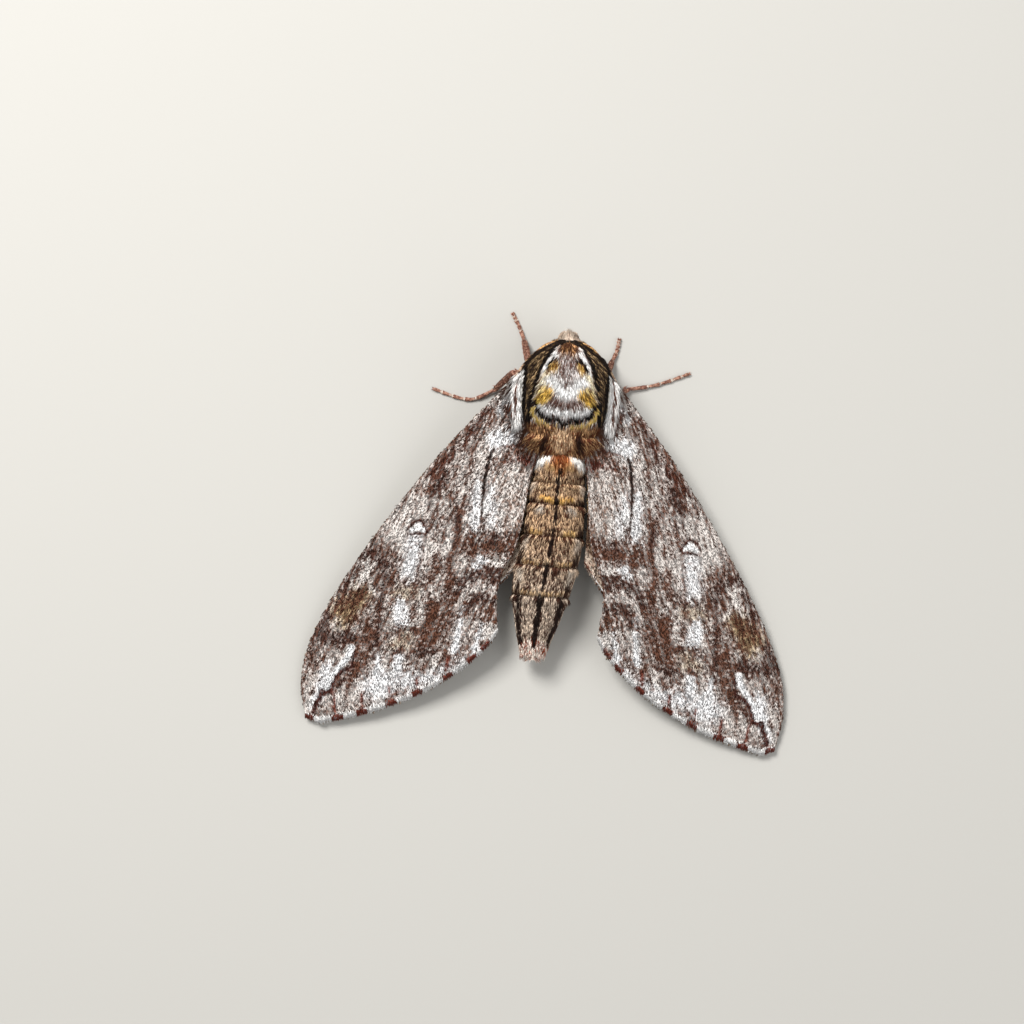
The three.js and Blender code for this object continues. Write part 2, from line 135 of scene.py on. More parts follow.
def abdomen_skin(share, angle):
    """The abdomen's skin, share from its front end, inside the thorax, to the tail."""
    front = ABDOMEN[0][0]
    place = front + ABDOMEN_OVERLAP - share * (front + ABDOMEN_OVERLAP - TAIL_END)
    inset = ring_inset(place)
    point = trunk_point(ABDOMEN, np.minimum(place, front), angle, inset)
    centre = (point + trunk_point(ABDOMEN, np.minimum(place, front), angle + math.pi, inset)) / 2
    point = centre + (point - centre) * capped(share, ABDOMEN_ROUNDED)[:, None]
    point[:, 1] = place
    return point


def head_surface(share, angle):
    """A place on the head's skin, share from its back pole to its front one."""
    polar = np.asarray(share) * math.pi
    ball = np.stack([-np.sin(polar) * np.cos(angle), -np.cos(polar), np.sin(polar) * np.sin(angle)], axis=-1)
    return HEAD_MIDDLE + ball * (HEAD_RADII - HEAD_FUR)


def linear(colour):
    """Screen colours from 0 to 255 as the plain light values that materials use."""
    share = np.asarray(colour, float) / 255
    return np.where(share < 0.04045, share / 12.92, ((share + 0.055) / 1.055) ** 2.4)


def grain(x, y, size, seed=0):
    """Smooth random values from 0 to 1 over a plane, with grains about size across."""
    x, y = np.asarray(x) / size, np.asarray(y) / size
    left, low = np.floor(x), np.floor(y)
    fx, fy = x - left, y - low
    fx, fy = fx * fx * (3 - 2 * fx), fy * fy * (3 - 2 * fy)

    def corner(i, j):
        value = np.sin((left + i) * 127.1 + (low + j) * 311.7 + seed * 74.7) * 43758.5453
        return value - np.floor(value)

    bottom = corner(0, 0) * (1 - fx) + corner(1, 0) * fx
    top = corner(0, 1) * (1 - fx) + corner(1, 1) * fx
    return bottom * (1 - fy) + top * fy


def stroke(x, y, points, widths, soft):
    """How far a painted stroke covers each place: a line through points, its half width tapering."""
    points = [points] if np.ndim(points) == 1 else points
    run = np.cumsum([0.0] + [math.dist(a, b) for a, b in zip(points, points[1:])])
    outside = np.full(np.shape(x), 1e9)
    for k in range(max(len(points) - 1, 1)):
        (ax, ay), (bx, by) = points[k], points[min(k + 1, len(points) - 1)]
        span = (bx - ax) ** 2 + (by - ay) ** 2
        t = np.clip(((x - ax) * (bx - ax) + (y - ay) * (by - ay)) / max(span, 1e-9), 0, 1)
        reach = np.hypot(x - ax - t * (bx - ax), y - ay - t * (by - ay))
        place = (run[k] + t * math.sqrt(span)) / max(run[-1], 1e-9)
        outside = np.minimum(outside, reach - (widths[0] + (widths[1] - widths[0]) * place))
    cover = np.clip(0.5 - outside / (2 * soft), 0, 1)
    return cover * cover * (3 - 2 * cover)


class Paint:
    """Dark and pale scales mixed over a surface: their two colours and the share that is pale."""

    def __init__(self, x, y, share, dark, pale):
        self.x, self.y = x, y
        self.share = np.full(np.shape(x), float(share))
        self.dark = np.tile(linear(dark), (len(x), 1))
        self.pale = np.tile(linear(pale), (len(x), 1))

    def lay(self, cover, share=None, dark=None, pale=None):
        if share is not None:
            self.share += (share - self.share) * cover
        if dark is not None:
            self.dark += (linear(dark) - self.dark) * cover[:, None]
        if pale is not None:
            self.pale += (linear(pale) - self.pale) * cover[:, None]

    def add(self, points, widths, soft, share=None, dark=None, pale=None):
        self.lay(stroke(self.x, self.y, points, widths, soft), share, dark, pale)

    def colours(self, pick, soft=0.45, uneven=0.12, blend=1.0):
        """The colour at each place, where pick is its own random number from 0 to 1. With blend, stray pale
        scales among the dark ones are dimmer, and stray dark ones among the pale are lighter."""
        mix = np.clip((self.share - pick) / soft + 0.5, 0, 1)
        share = np.clip(self.share, 0, 1)
        mix = (mix * (1 - 0.42 * blend * (1 - share)) + (1 - mix) * 0.2 * blend * share**2)[:, None]
        shade = 1 + uneven * (2 * ((pick * 7.31) % 1.0)[:, None] - 1)
        return (self.dark * (1 - mix) + self.pale * mix) * shade


# Each mark has its line of places, its half widths at the two ends, the softness of its edge and the share of
# pale hairs in it, then its own dark and pale colours where they differ from those around it.
THORAX_MARKS = {
    "brown front": ([(0, 8.4), (0, 7.3)], (1.35, 0.85), 0.4, 0.34, (80, 45, 24), (206, 156, 108)),
    "gold spot": ([(1.25, 6.0), (1.75, 5.6)], (0.4, 0.5), 0.3, 0.6, (112, 72, 26), (232, 190, 104)),
    "pale side": ([(2.35, 4.9), (3.0, 3.6)], (0.35, 0.35), 0.35, 0.75, (150, 112, 66), (244, 230, 196)),
    "lilac back": ([(0.3, 1.75), (1.5, 1.7)], (0.55, 0.45), 0.4, 0.3, (104, 70, 60), (214, 198, 192)),
    "white wing of the V": ([(1.9, 3.9), (1.2, 3.3), (0.3, 2.55), (0, 2.4)],
                            (0.7, 0.55), 0.45, 0.98, None, (252, 252, 252)),
    "lilac notch": ([(0, 6.3), (0, 5.2), (0, 3.9)], (0.95, 0.4), 0.5, 0.42, (108, 80, 72), (234, 228, 226)),
    "yellow": ([(2.25, 2.6), (2.95, 1.8)], (0.75, 0.6), 0.3, 0.62, (84, 44, 14), (255, 208, 104)),
    "yellow's pale front": ([(2.4, 3.35), (3.2, 2.8)], (0.25, 0.3), 0.3, 0.6, (104, 62, 26), (248, 224, 160)),
    "white arc": ([(1.45, 7.3), (2.0, 6.6), (2.5, 5.75), (2.75, 5.0)],
                  (0.22, 0.08), 0.1, 1.0, None, (252, 252, 252)),
    "small crescent": ([(1.0, 6.5), (1.5, 6.5), (2.05, 6.1), (2.3, 5.5)],
                       (0.16, 0.18), 0.08, 0.0, (20, 11, 7)),
    "white strip": ([(0, 0.5), (1.4, 0.45), (2.3, 0.75), (2.9, 1.2)],
                    (0.42, 0.25), 0.12, 1.0, None, (252, 252, 252)),
    "black crescent": ([(3.45, 1.5), (3.2, 0.7), (2.5, 0.1), (1.3, -0.3), (0.4, -0.4)],
                       (0.34, 0.22), 0.08, 0.0, (12, 7, 5)),
    "crescent's notch": ((0, -0.85), (0.42, 0.42), 0.14, 0.02, (22, 12, 8)),
    "yellow edge": ([(3.75, 1.1), (3.6, 0.2), (2.9, -0.55), (1.6, -0.95), (0.8, -0.95)],
                    (0.22, 0.2), 0.1, 0.92, (150, 92, 34), (255, 216, 124)),
    "rear fur": ([(0, -3.1), (5.2, -2.2)], (1.75, 1.8), 0.25, 0.4, (96, 50, 28), (214, 170, 122)),
    "rear tuft": ([(0, -2.4), (0, -2.9)], (1.2, 1.2), 0.4, 0.6, (124, 70, 38), (240, 208, 170)),
    "rear pits": ([(1.9, -2.5), (2.2, -3.6)], (0.35, 0.4), 0.35, 0.08, (46, 24, 16)),
}
LAPPET_EDGE = [(-0.3, 8.9), (1.3, 8.2), (2.05, 7.1), (2.65, 6.0), (2.95, 5.0), (3.35, 3.2), (3.75, 1.6),
               (3.85, 0.0)]
UNDER_THE_TRUNK = {"share": 0.5, "dark": (104, 72, 52), "pale": (186, 158, 130)}


def thorax_paint(points):
    """The fur of the thorax: a pale shield between two dark lappets that meet in front, and brown below."""
    x, y, z = np.abs(points[:, 0]), points[:, 1], points[:, 2]
    ragged = 0.3 * (grain(points[:, 0], y, 0.25, 31) - 0.5)
    paint = Paint(x + ragged, y + 1.2 * ragged, 0.58, (112, 84, 74), (236, 232, 230))
    for mark in THORAX_MARKS.values():
        paint.add(*mark)
    edge = np.interp(y, [p[1] for p in LAPPET_EDGE][::-1], [p[0] for p in LAPPET_EDGE][::-1])
    beyond = x + ragged - edge
    lappet = np.clip(beyond / 0.12, 0, 1) * np.clip((y + 0.9) / 0.3, 0, 1)
    paint.lay(lappet, 0.34, (44, 28, 18), (198, 166, 122))
    paint.lay(lappet * np.clip((0.6 - beyond) / 0.2, 0, 1), 0.02, (18, 11, 7))
    paint.lay(lappet * np.clip((x - 4.5) / 0.15, 0, 1) * (y < 6.5), 0.03, (20, 12, 8))
    paint.lay(lappet * np.clip((x - 4.95) / 0.12, 0, 1) * (y < 6.0) * (y > 0.2), 0.95, None, (246, 244, 240))
    rim = y - 8.78 + 0.147 * x + 0.106 * x**2
    paint.lay(np.clip(rim / 0.12, 0, 1), 0.08, (30, 18, 11), (150, 112, 60))
    face = np.clip((6.9 - z) / 0.4, 0, 1) * np.clip((rim + 0.5) / 0.3, 0, 1)
    paint.lay(face, 0.42, (84, 56, 38), (190, 160, 128))
    under = np.clip((5.2 - z) / 0.8, 0, 1)
    paint.lay(under, **UNDER_THE_TRUNK)
    return paint


ABDOMEN_MARKS = {
    "first tuft": ([(1.7, -4.2), (2.6, -4.9)], (0.85, 0.85), 0.45, 0.92, (150, 130, 116), (244, 242, 238)),
    "first middle": ([(0, -4.2), (0.6, -5.2), (0.3, -5.9)],
                     (0.95, 0.4), 0.6, 0.35, (128, 64, 28), (214, 142, 84)),
    "ochre pair": ([(0.8, -5.7), (1.5, -5.5)], (0.3, 0.3), 0.35, 0.65, (140, 88, 44), (238, 200, 144)),
    "first side": ([(2.5, -6.6), (3.3, -6.3)], (0.25, 0.45), 0.25, 0.08, (50, 29, 20)),
    "second ring": ([(0.8, -7.7), (2.6, -7.9)], (0.7, 0.7), 0.6, 0.5, (100, 62, 40), (222, 190, 152)),
    "pale side 2": ([(2.9, -7.7), (3.1, -8.5)], (0.4, 0.35), 0.3, 0.72, (104, 76, 58), (224, 204, 184)),
    "pale side 4": ([(3.0, -13.9), (3.2, -15.0)], (0.4, 0.4), 0.3, 0.68, (96, 70, 54), (218, 200, 182)),
    "pale side 5": ([(3.0, -17.6), (2.9, -18.8)], (0.35, 0.35), 0.3, 0.72, (96, 70, 54), (224, 210, 194)),
    "yellow pair 2": ([(0.45, -9.45), (1.1, -9.25), (1.9, -9.15)],
                      (0.34, 0.16), 0.2, 0.85, (160, 100, 40), (244, 194, 112)),
    "side patch 2": ([(2.6, -9.4), (3.3, -9.6)], (0.22, 0.4), 0.2, 0.08, (46, 28, 20)),
    "pale spot 3": ([(1.7, -10.4), (2.1, -10.6)], (0.4, 0.35), 0.4, 0.85, None, (226, 218, 208)),
    "side patch 3": ([(3.2, -12.4), (3.3, -13.4)], (0.25, 0.4), 0.3, 0.12, (50, 32, 22)),
    "yellow spot 4": ([(1.4, -13.15), (2.5, -13.0)], (0.2, 0.24), 0.18, 0.8, (150, 96, 48), (240, 200, 136)),
    "side patch 4": ([(3.2, -15.4), (3.3, -16.4)], (0.28, 0.35), 0.3, 0.12, (50, 32, 22)),
    "yellow line 5": ([(1.0, -16.75), (2.8, -16.5)], (0.1, 0.14), 0.12, 0.8, (140, 96, 56), (228, 190, 138)),
    "side patch 5": ([(2.95, -19.0), (2.9, -19.8)], (0.25, 0.3), 0.3, 0.15, (52, 34, 25)),
    "thin line 6": ([(0, -20.15), (2.4, -20.1)], (0.08, 0.09), 0.1, 0.8, (150, 108, 66), (218, 184, 138)),
    "last ring": ([(1.3, -21.3), (1.0, -25.6)], (0.7, 0.45), 0.5, 0.58),
    "last ring's side": ([(2.55, -20.8), (2.3, -23.4), (1.5, -26.4)], (0.3, 0.2), 0.16, 0.05, (42, 26, 20)),
    "last ring's hem": ([(0.5, -26.5), (1.4, -26.4)], (0.12, 0.14), 0.12, 0.9, None, (232, 226, 220)),
    "tail": ([(0, -27.3), (0, -28.6)], (1.9, 1.9), 0.15, 0.58, (150, 76, 50), (250, 236, 224)),
}
MIDDLE_DASHES = [(-6.0, -6.6, 0.3), (-7.1, -8.5, 0.26), (-9.4, -12.0, 0.24), (-12.9, -15.7, 0.26),
                 (-16.9, -19.5, 0.32), (-20.5, -26.3, 0.36)]


def abdomen_paint(points):
    """The fur of the abdomen: tan and brown, a dark line down its back, a pale hem on each ring and painted
    shade behind it.
    """
    middle = np.interp(points[:, 1], [s[0] for s in ABDOMEN][::-1], [s[1] for s in ABDOMEN][::-1])
    x, y, z = np.abs(points[:, 0] - middle), points[:, 1], points[:, 2]
    ragged = 0.3 * (grain(points[:, 0], y, 0.35, 41) - 0.5)
    paint = Paint(x + ragged, y + ragged, 0.5, (80, 45, 28), (228, 193, 156))
    paint.lay(np.clip((-13 - y) / 8, 0, 1), None, (72, 42, 30), (230, 210, 190))
    for edge in RING_EDGES:
        # Just behind each joint, a dark band: painted shade under the hem of the ring in front. Then the pale
        # hem itself.
        paint.add([(0, edge - 0.45), (3.8, edge - 0.4)], (0.2, 0.22), 0.25, 0.15)
        paint.add([(0, edge - 0.05), (3.8, edge)], (0.1, 0.1), 0.14, 0.76, (124, 84, 58), (232, 202, 164))
    paint.share += (grain(points[:, 0], y * 0.5, 0.22, 42) - 0.5) * 0.5
    for mark in ABDOMEN_MARKS.values():
        paint.add(*mark)
    for start, end, half_width in MIDDLE_DASHES:
        paint.add([(0, start), (0, end)], (half_width, half_width * 0.6), 0.12, 0.03, (34, 21, 15))
    under = np.clip((3.4 - z) / 0.8, 0, 1) * (y > -26)
    paint.lay(under, **UNDER_THE_TRUNK)
    return paint


def head_paint(points):
    """The short brown fur of the head, and its paler brow."""
    paint = Paint(np.abs(points[:, 0]), points[:, 1], 0.42, (84, 54, 36), (196, 168, 136))
    paint.add([(0.4, 9.2), (0.4, 10.2)], (0.9, 0.7), 0.3, 0.68, (126, 86, 66), (234, 216, 198))
    return paint


def smooth_mesh(bm, name):
    """The mesh of a finished bmesh, shaded smooth."""
    for face in bm.faces:
        face.smooth = True
    mesh = bpy.data.meshes.new(name)
    bm.to_mesh(mesh)
    bm.free()
    return mesh


def remeshed(bm, name, voxel):
    """One closed skin over all the overlapping bodies in bm."""
    rough = smooth_mesh(bm, name + "_rough")
    holder = bpy.data.objects.new(name + "_rough", rough)
    bpy.context.scene.collection.objects.link(holder)
    remesh = holder.modifiers.new("skin", "REMESH")
    remesh.mode, remesh.voxel_size, remesh.use_smooth_shade = "VOXEL", voxel * MM, True
    smooth = holder.modifiers.new("smooth", "SMOOTH")
    smooth.factor, smooth.iterations = 0.5, 3
    mesh = bpy.data.meshes.new_from_object(holder.evaluated_get(bpy.context.evaluated_depsgraph_get()))
    mesh.name = name
    bpy.data.objects.remove(holder)
    bpy.data.meshes.remove(rough)
    return mesh


def vertices_of(mesh):
    """The places of a mesh's vertices, in metres."""
    places = np.empty(len(mesh.vertices) * 3)
    mesh.vertices.foreach_get("co", places)
    return places.reshape(-1, 3)


def paint_mesh(mesh, colours):
    """Stores a colour at each vertex of a mesh."""
    layer = mesh.color_attributes.new(name="paint", type="FLOAT_COLOR", domain="POINT")
    rgba = np.ones((len(colours), 4), np.float32)
    rgba[:, :3] = np.clip(colours, 0, 1)
    layer.data.foreach_set("color", rgba.ravel())


class Shade:
    """A value or colour on its way through a material's nodes."""

    def __init__(self, tree, socket=None):
        self.tree, self.socket = tree, socket

    def node(self, kind, output, settings=None, **inputs):
        """The named output of a new node. Its settings, a ramp's stops among them, come before its inputs."""
        made = self.tree.nodes.new(kind)
        for key, value in (settings or {}).items():
            if key == "stops":
                for stop, colour in zip(made.color_ramp.elements, value):
                    stop.color = colour
            else:
                setattr(made, key, value)
        for key, value in inputs.items():
            socket = made.inputs[int(key[3:]) if key.startswith("in_") else key]
            if isinstance(value, Shade):
                self.tree.links.new(value.socket, socket)
            else:
                socket.default_value = value
        return Shade(self.tree, made.outputs[output])

    def into(self, shader, name):
        self.tree.links.new(self.socket, shader.inputs[name])

    def __add__(self, other):
        return self.node("ShaderNodeMath", "Value", {"operation": "ADD"}, in_0=self, in_1=other)

    def __mul__(self, other):
        return self.node("ShaderNodeMath", "Value", {"operation": "MULTIPLY"}, in_0=self, in_1=other)

    def __rsub__(self, other):
        return self.node("ShaderNodeMath", "Value", {"operation": "SUBTRACT"}, in_0=other, in_1=self)

    __radd__, __rmul__ = __add__, __mul__


def new_material(name, roughness, **settings):
    """A material with its main shader, and a Shade to start its sums from."""
    material = bpy.data.materials.new(name)
    material.use_nodes = True
    shader = material.node_tree.nodes["Principled BSDF"]
    shader.inputs["Roughness"].default_value = roughness
    for key, value in settings.items():
        shader.inputs[key.replace("_", " ")].default_value = value
    return material, shader, Shade(material.node_tree)


def painted_material(name, roughness, flecks, fleck_size, bump_depth=0.0, **settings):
    """Finish of a piece that carries its markings in its own paint, with fine flecks and perhaps a bump."""
    material, shader, start = new_material(name, roughness, **settings)
    place = start.node("ShaderNodeTexCoord", "Object")
    paint = start.node("ShaderNodeAttribute", "Color", {"attribute_name": "paint"})
    fleck = start.node("ShaderNodeTexNoise", "Fac", Vector=place, Scale=1 / (fleck_size * MM), Detail=3.0)
    level = 1 - flecks / 2 + fleck * flecks
    start.node("ShaderNodeVectorMath", "Vector", {"operation": "SCALE"}, Vector=paint, Scale=level).into(
        shader, "Base Color")
    if bump_depth:
        start.node("ShaderNodeBump", "Normal", Strength=0.6, Distance=bump_depth * MM, Height=fleck).into(
            shader, "Normal")
    return material


def finished(mesh, name, material, replaces=()):
    """Puts a finished mesh in the scene as a piece of the moth."""
    mesh.materials.clear()
    mesh.materials.append(material)
    piece = bpy.data.objects.new(name, mesh)
    bpy.context.scene.collection.objects.link(piece)
    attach(piece, "root")
    if replaces:
        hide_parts(*replaces)
    return piece


body = bmesh.new()
moved_sphere(body, 72, 60, thorax_skin)
moved_sphere(body, 60, 110, abdomen_skin)
moved_sphere(body, 48, 36, head_surface)
body_mesh = remeshed(body, "body_skin", BODY_VOXEL)
verts = in_mm(vertices_of(body_mesh))
pick = grain(verts[:, 0], verts[:, 1] + verts[:, 2], 0.2, 43)
on_thorax = verts[:, 1] > THORAX[-1][0] + 0.1
on_head = np.linalg.norm((verts - HEAD_MIDDLE) / HEAD_RADII, axis=1) < 1
skin_colours = np.where(on_thorax[:, None], thorax_paint(verts).colours(pick),
                        abdomen_paint(verts).colours(pick))
skin_colours[on_head] = head_paint(verts).colours(pick)[on_head]
# Painted shade: the skin under the fur is darkened.
paint_mesh(body_mesh, skin_colours * SKIN_PAINTED_SHADE)
skin_finish = painted_material("body skin", 0.7, flecks=0.4, fleck_size=0.15, bump_depth=0.06)
TRUNK_NODES = ["head", "collar", "thorax", "metathorax", "tegula_R", "tegula_L", "tail_tuft"]
TRUNK_NODES += [f"abdomen_{number}" for number in range(1, 7)]
finished(body_mesh, "body_skin", skin_finish, TRUNK_NODES)

# ---------------------------------------------------------------- the trunk: its fur
# The fur is long hair-scales with thick middles and fine tips. On the thorax they stand up a little and
# sweep backwards; on the abdomen they lie nearly flat and hide the joints; at its end they make a brush. On
# the head they are short, and a brow of longer ones is combed forwards to a point over the palps.

PATCH = 0.003  # of the unwrapped map, for one hair or scale
ALL_ROUND = (-math.pi, math.pi)
SIDEWAYS, UPWARDS = np.array([1, 0, 0]), np.array([0, 0, 1])


def unit(vectors):
    return vectors / np.maximum(np.linalg.norm(vectors, axis=-1, keepdims=True), 1e-12)


def coat_mesh(name, corners, faces, colours, places, painted_shading):
    """Joins many copies of one small closed shape: corners holds each copy's vertices in metres, and
    painted_shading how light each of its vertices is painted: painted shade at the roots, which lie in the
    coat's own shadow."""
    count, size = corners.shape[:2]
    a, b, c = (corners[:, faces[:, k]] - corners[:, :1] for k in range(3))
    inside_out = np.einsum("nfi,nfi->n", np.cross(a, b), c) < 0
    triangles = faces[None] + np.arange(count)[:, None, None] * size
    triangles[inside_out] = triangles[inside_out][:, :, ::-1]
    triangles = triangles.reshape(-1, 3)
    mesh = bpy.data.meshes.new(name)
    mesh.vertices.add(count * size)
    mesh.vertices.foreach_set("co", corners.ravel().astype(np.float32))
    mesh.loops.add(triangles.size)
    mesh.loops.foreach_set("vertex_index", triangles.ravel().astype(np.int32))
    mesh.polygons.add(len(triangles))
    mesh.polygons.foreach_set("loop_start", np.arange(0, triangles.size, 3, dtype=np.int32))
    mesh.update(calc_edges=True)
    mesh.validate()
    # Painted shading: each vertex's colour is scaled by how light it is painted.
    paint_mesh(mesh, (colours[:, None, :] * np.array(painted_shading)[None, :, None]).reshape(-1, 3))
    angles = np.arange(size) / size * 2 * math.pi
    patch = np.stack([np.cos(angles), np.sin(angles)], axis=1) * PATCH / 2
    middles = PATCH / 2 + places * (1 - PATCH)
    patches = (middles[:, None, :] + patch[None]).reshape(-1, 2)
    layer = mesh.uv_layers.new(name="OFBake")
    layer.data.foreach_set("uv", patches[triangles.ravel()].ravel().astype(np.float32))
    return mesh


def frame_on(surface, a, b, facing=1):
    """Places on a surface, with the directions in which a and b grow there and the way out of it."""
    step = 0.002
    root = surface(a, b)
    along = unit(surface(a + step, b) - surface(a - step, b))
    side = unit(surface(a, b + step) - surface(a, b - step))
    out = unit(np.cross(side, along)) * facing
    return root, along, unit(np.cross(out, along)), out


def turned(along, across, angle):
    """The two directions turned about the way out."""
    cos, sin = np.cos(angle)[:, None], np.sin(angle)[:, None]
    return along * cos + across * sin, across * cos - along * sin


def spread(surface, count, random, limits):
    """Random places on a surface, as many on each part of its area."""
    (a0, a1), (b0, b1) = limits
    a, b = random.uniform(a0, a1, count * 4), random.uniform(b0, b1, count * 4)
    step_a, step_b = (a1 - a0) * 0.002, (b1 - b0) * 0.002
    da = surface(a + step_a, b) - surface(a - step_a, b)
    db = surface(a, b + step_b) - surface(a, b - step_b)
    area = np.linalg.norm(np.cross(da, db), axis=-1)
    kept = np.flatnonzero(random.random(len(a)) < area / np.percentile(area, 99))[:count]
    return a[kept], b[kept]


HAIR_FACES = np.array([(0, 2, 1), (0, 3, 2), (0, 1, 3), (4, 1, 2), (4, 2, 3), (4, 3, 1)])
# Painted shading of a hair's root, ring and tip: painted shade darkest at the root and under the ring, a
# slight painted highlight at the tip.
HAIR_PAINTED_SHADING = (0.35, 0.95, 0.85, 0.85, 1.1)
HAIR_RING = [(0.0, 0.75), (-0.87, -0.4), (0.87, -0.4)]  # across and out, in half thicknesses
HAIR_MIDDLE, HAIR_MIDDLE_RISE = 0.45, 0.72  # the ring's place, in lengths and in rises
HAIR_SINK = 0.05  # how deep a hair is rooted
HAIR_SEEN = 0.65  # the share of its length at which a hair takes its colour from the pattern
fur_finish = painted_material("fur", 0.55, flecks=0.12, fleck_size=0.05, Specular_IOR_Level=0.2)


def hair_corners(root, along, across, out, length, thickness, rise):
    """A hair for each root, thickest before its middle and bending down along the body towards its tip."""
    length, thickness, rise = (np.asarray(value)[:, None] for value in (length, thickness, rise))
    middle = root + along * length * HAIR_MIDDLE + out * rise * HAIR_MIDDLE_RISE
    ring = [middle + (across * a + out * o) * thickness / 2 for a, o in HAIR_RING]
    return np.stack([root, *ring, root + along * length + out * rise], axis=1)


def fur(name, surface, limits, count, seed, paint, length, thickness, lift, bend=None, share=None,
        turn=0.16, side=1):
    """One joined coat of count hairs at most over a surface; length and thickness are ranges in mm, lift a
    range of slopes, bend turns the lie of the hairs, and share(roots) is how many grow at each place."""
    random = np.random.default_rng(seed)
    a, b = spread(surface, count if share is None else count * 2, random, limits)
    root, along, across, out = frame_on(surface, a, b)
    if share is not None:
        kept = np.flatnonzero(random.random(len(a)) < share(root))[:count]
        a, b, root, along, across, out = (value[kept] for value in (a, b, root, along, across, out))
    if bend is not None:
        along = unit(along + bend(root, along, across, out))
        across = unit(np.cross(out, along))
    along, across = turned(along, across, random.normal(0, turn, len(a)))
    long = length(root, random) if callable(length) else random.uniform(*length, len(a))
    thick = random.uniform(*thickness, len(a))
    rise = long * random.uniform(*lift, len(a))
    seen = root + along * (long * HAIR_SEEN)[:, None] + out * rise[:, None]
    (a0, a1), (b0, b1) = limits
    places = np.stack([(a - a0) / (a1 - a0), (b - b0) / (b1 - b0)], axis=1)
    own = np.clip(0.65 * random.random(len(a)) + 0.35 * grain(seen[:, 0], seen[:, 1] * 0.5, 0.3, seed), 0, 1)
    corners = hair_corners(root - out * HAIR_SINK, along, across, out, long, thick, rise)
    colours = paint(seen).colours(own, soft=0.25, uneven=0.18, blend=0.0)
    mesh = coat_mesh(name, placed(corners, side), HAIR_FACES, colours, places, HAIR_PAINTED_SHADING)
    finished(mesh, name, fur_finish)


def thorax_surface(share, angle):
    """The skin of the thorax under its fur, from front to rear."""
    front = THORAX[0][0] - 0.15
    return trunk_point(THORAX, front - share * (front - THORAX[-1][0]), angle, THORAX_FUR)


def front_splay(root, along, across, out):
    """At the front edge the hairs stand out forwards, and on the shield they fan out sideways."""
    x, y, z = root.T
    front = np.clip((y - 8.75) / 0.4, 0, 1)[:, None]
    on_shield = np.clip((6.0 - y) / 2, 0, 1) * np.clip(y - 1.0, 0, 1) * (np.abs(x) < 3.4)
    rear = np.clip((-1.2 - y) / 0.6, 0, 1) * (z > 6)
    fan = (x * (0.28 * on_shield + 0.4 * rear))[:, None] * SIDEWAYS
    return fan - 0.9 * along * front + out * 0.1 * front


def thorax_length(root, random):
    """Hairs are longer down the sides of the thorax, and short along its front edge."""
    side = np.clip((6.0 - root[:, 2]) / 2, 0, 1)
    front = np.clip((root[:, 1] - 8.2 + 0.09 * root[:, 0] ** 2) / 1.0, 0, 1)
    return random.uniform(0.95, 1.5, len(root)) * (1 + 0.3 * side - 0.62 * front)


def thorax_share(root):
    """Most hairs grow on the back of the thorax, and about a third as many underneath."""
    return np.clip((root[:, 2] - 5.0) / 2, 0, 1) * 0.65 + 0.35


fur("thorax_fur", thorax_surface, ((0.0, 1.0), ALL_ROUND), 29000, 51, thorax_paint,
    length=thorax_length, thickness=(0.11, 0.18), lift=(0.22, 0.4), bend=front_splay, share=thorax_share)


ABDOMEN_FUR_END, TAIL_BRUSH_START, TAIL_BRUSH_DEPTH = -27.0, -26.5, 0.9


def abdomen_surface(share, angle):
    """The skin of the abdomen under its fur, from front to rear."""
    front = ABDOMEN[0][0] + 0.3
    place = front - share * (front - ABDOMEN_FUR_END)
    return trunk_point(ABDOMEN, place, angle, ring_inset(place))


def abdomen_length(root, random):
    """Hairs are longest on the first ring, and a little longer at the hem of each."""
    first = np.clip((root[:, 1] + 6.0) / 1.5, 0, 1)
    hem = np.min([np.abs(root[:, 1] - edge - 0.35) for edge in RING_EDGES], axis=0) < 0.3
    return random.uniform(0.7, 1.15, len(root)) * (1 + 0.5 * first + 0.15 * hem)


def tail_surface(share, angle):
    """The end of the abdomen, narrowing, from which the brush grows backwards."""
    return trunk_point(ABDOMEN, TAIL_BRUSH_START - TAIL_BRUSH_DEPTH * share, angle, 0.35 + 1.3 * share)


fur("abdomen_fur", abdomen_surface, ((0.0, 1.0), ALL_ROUND), 31000, 52, abdomen_paint,
    length=abdomen_length, thickness=(0.1, 0.16), lift=(0.13, 0.24))
fur("tail_brush", tail_surface, ((0.0, 1.0), ALL_ROUND), 2600, 53, abdomen_paint,
    length=(0.9, 1.5), thickness=(0.11, 0.17), lift=(-0.1, 0.12))

EYE_MIDDLE, EYE_RADIUS = np.array([1.95, 7.1, 3.8]), 1.42


def off_the_eyes(root):
    """No hair of the head grows where the eyes sit."""
    return np.linalg.norm(np.abs(root) - EYE_MIDDLE, axis=1) > EYE_RADIUS + 0.02


fur("head_fur", head_surface, ((0.2, 0.97), ALL_ROUND), 9000, 54, head_paint,
    length=(0.35, 0.6), thickness=(0.05, 0.09), lift=(0.25, 0.5), share=off_the_eyes)


def brow_surface(share, angle):
    """The brow: a narrow strip across the head under the front edge of the thorax."""
    x = 1.8 * np.sin(angle)
    return np.stack([x, 8.45 + 0.45 * share - 0.14 * x**2, 6.15 - 0.75 * share], axis=-1)


def brow_comb(root, along, across, out):
    """The hairs of the brow are combed forwards and together, into a point over the palps."""
    inwards = -0.9 * root[:, 0] * np.clip(2.2 - 1.6 * np.abs(root[:, 0]), -0.3, 1)
    return np.stack([inwards, np.full(len(root), 1.2), np.full(len(root), 0.1)], axis=-1)


def brow_length(root, random):
    """The brow's hairs are longest in the middle, where they make the point."""
    return random.uniform(0.8, 1.05, len(root)) * (1.8 - 0.8 * np.abs(root[:, 0])).clip(0.7)


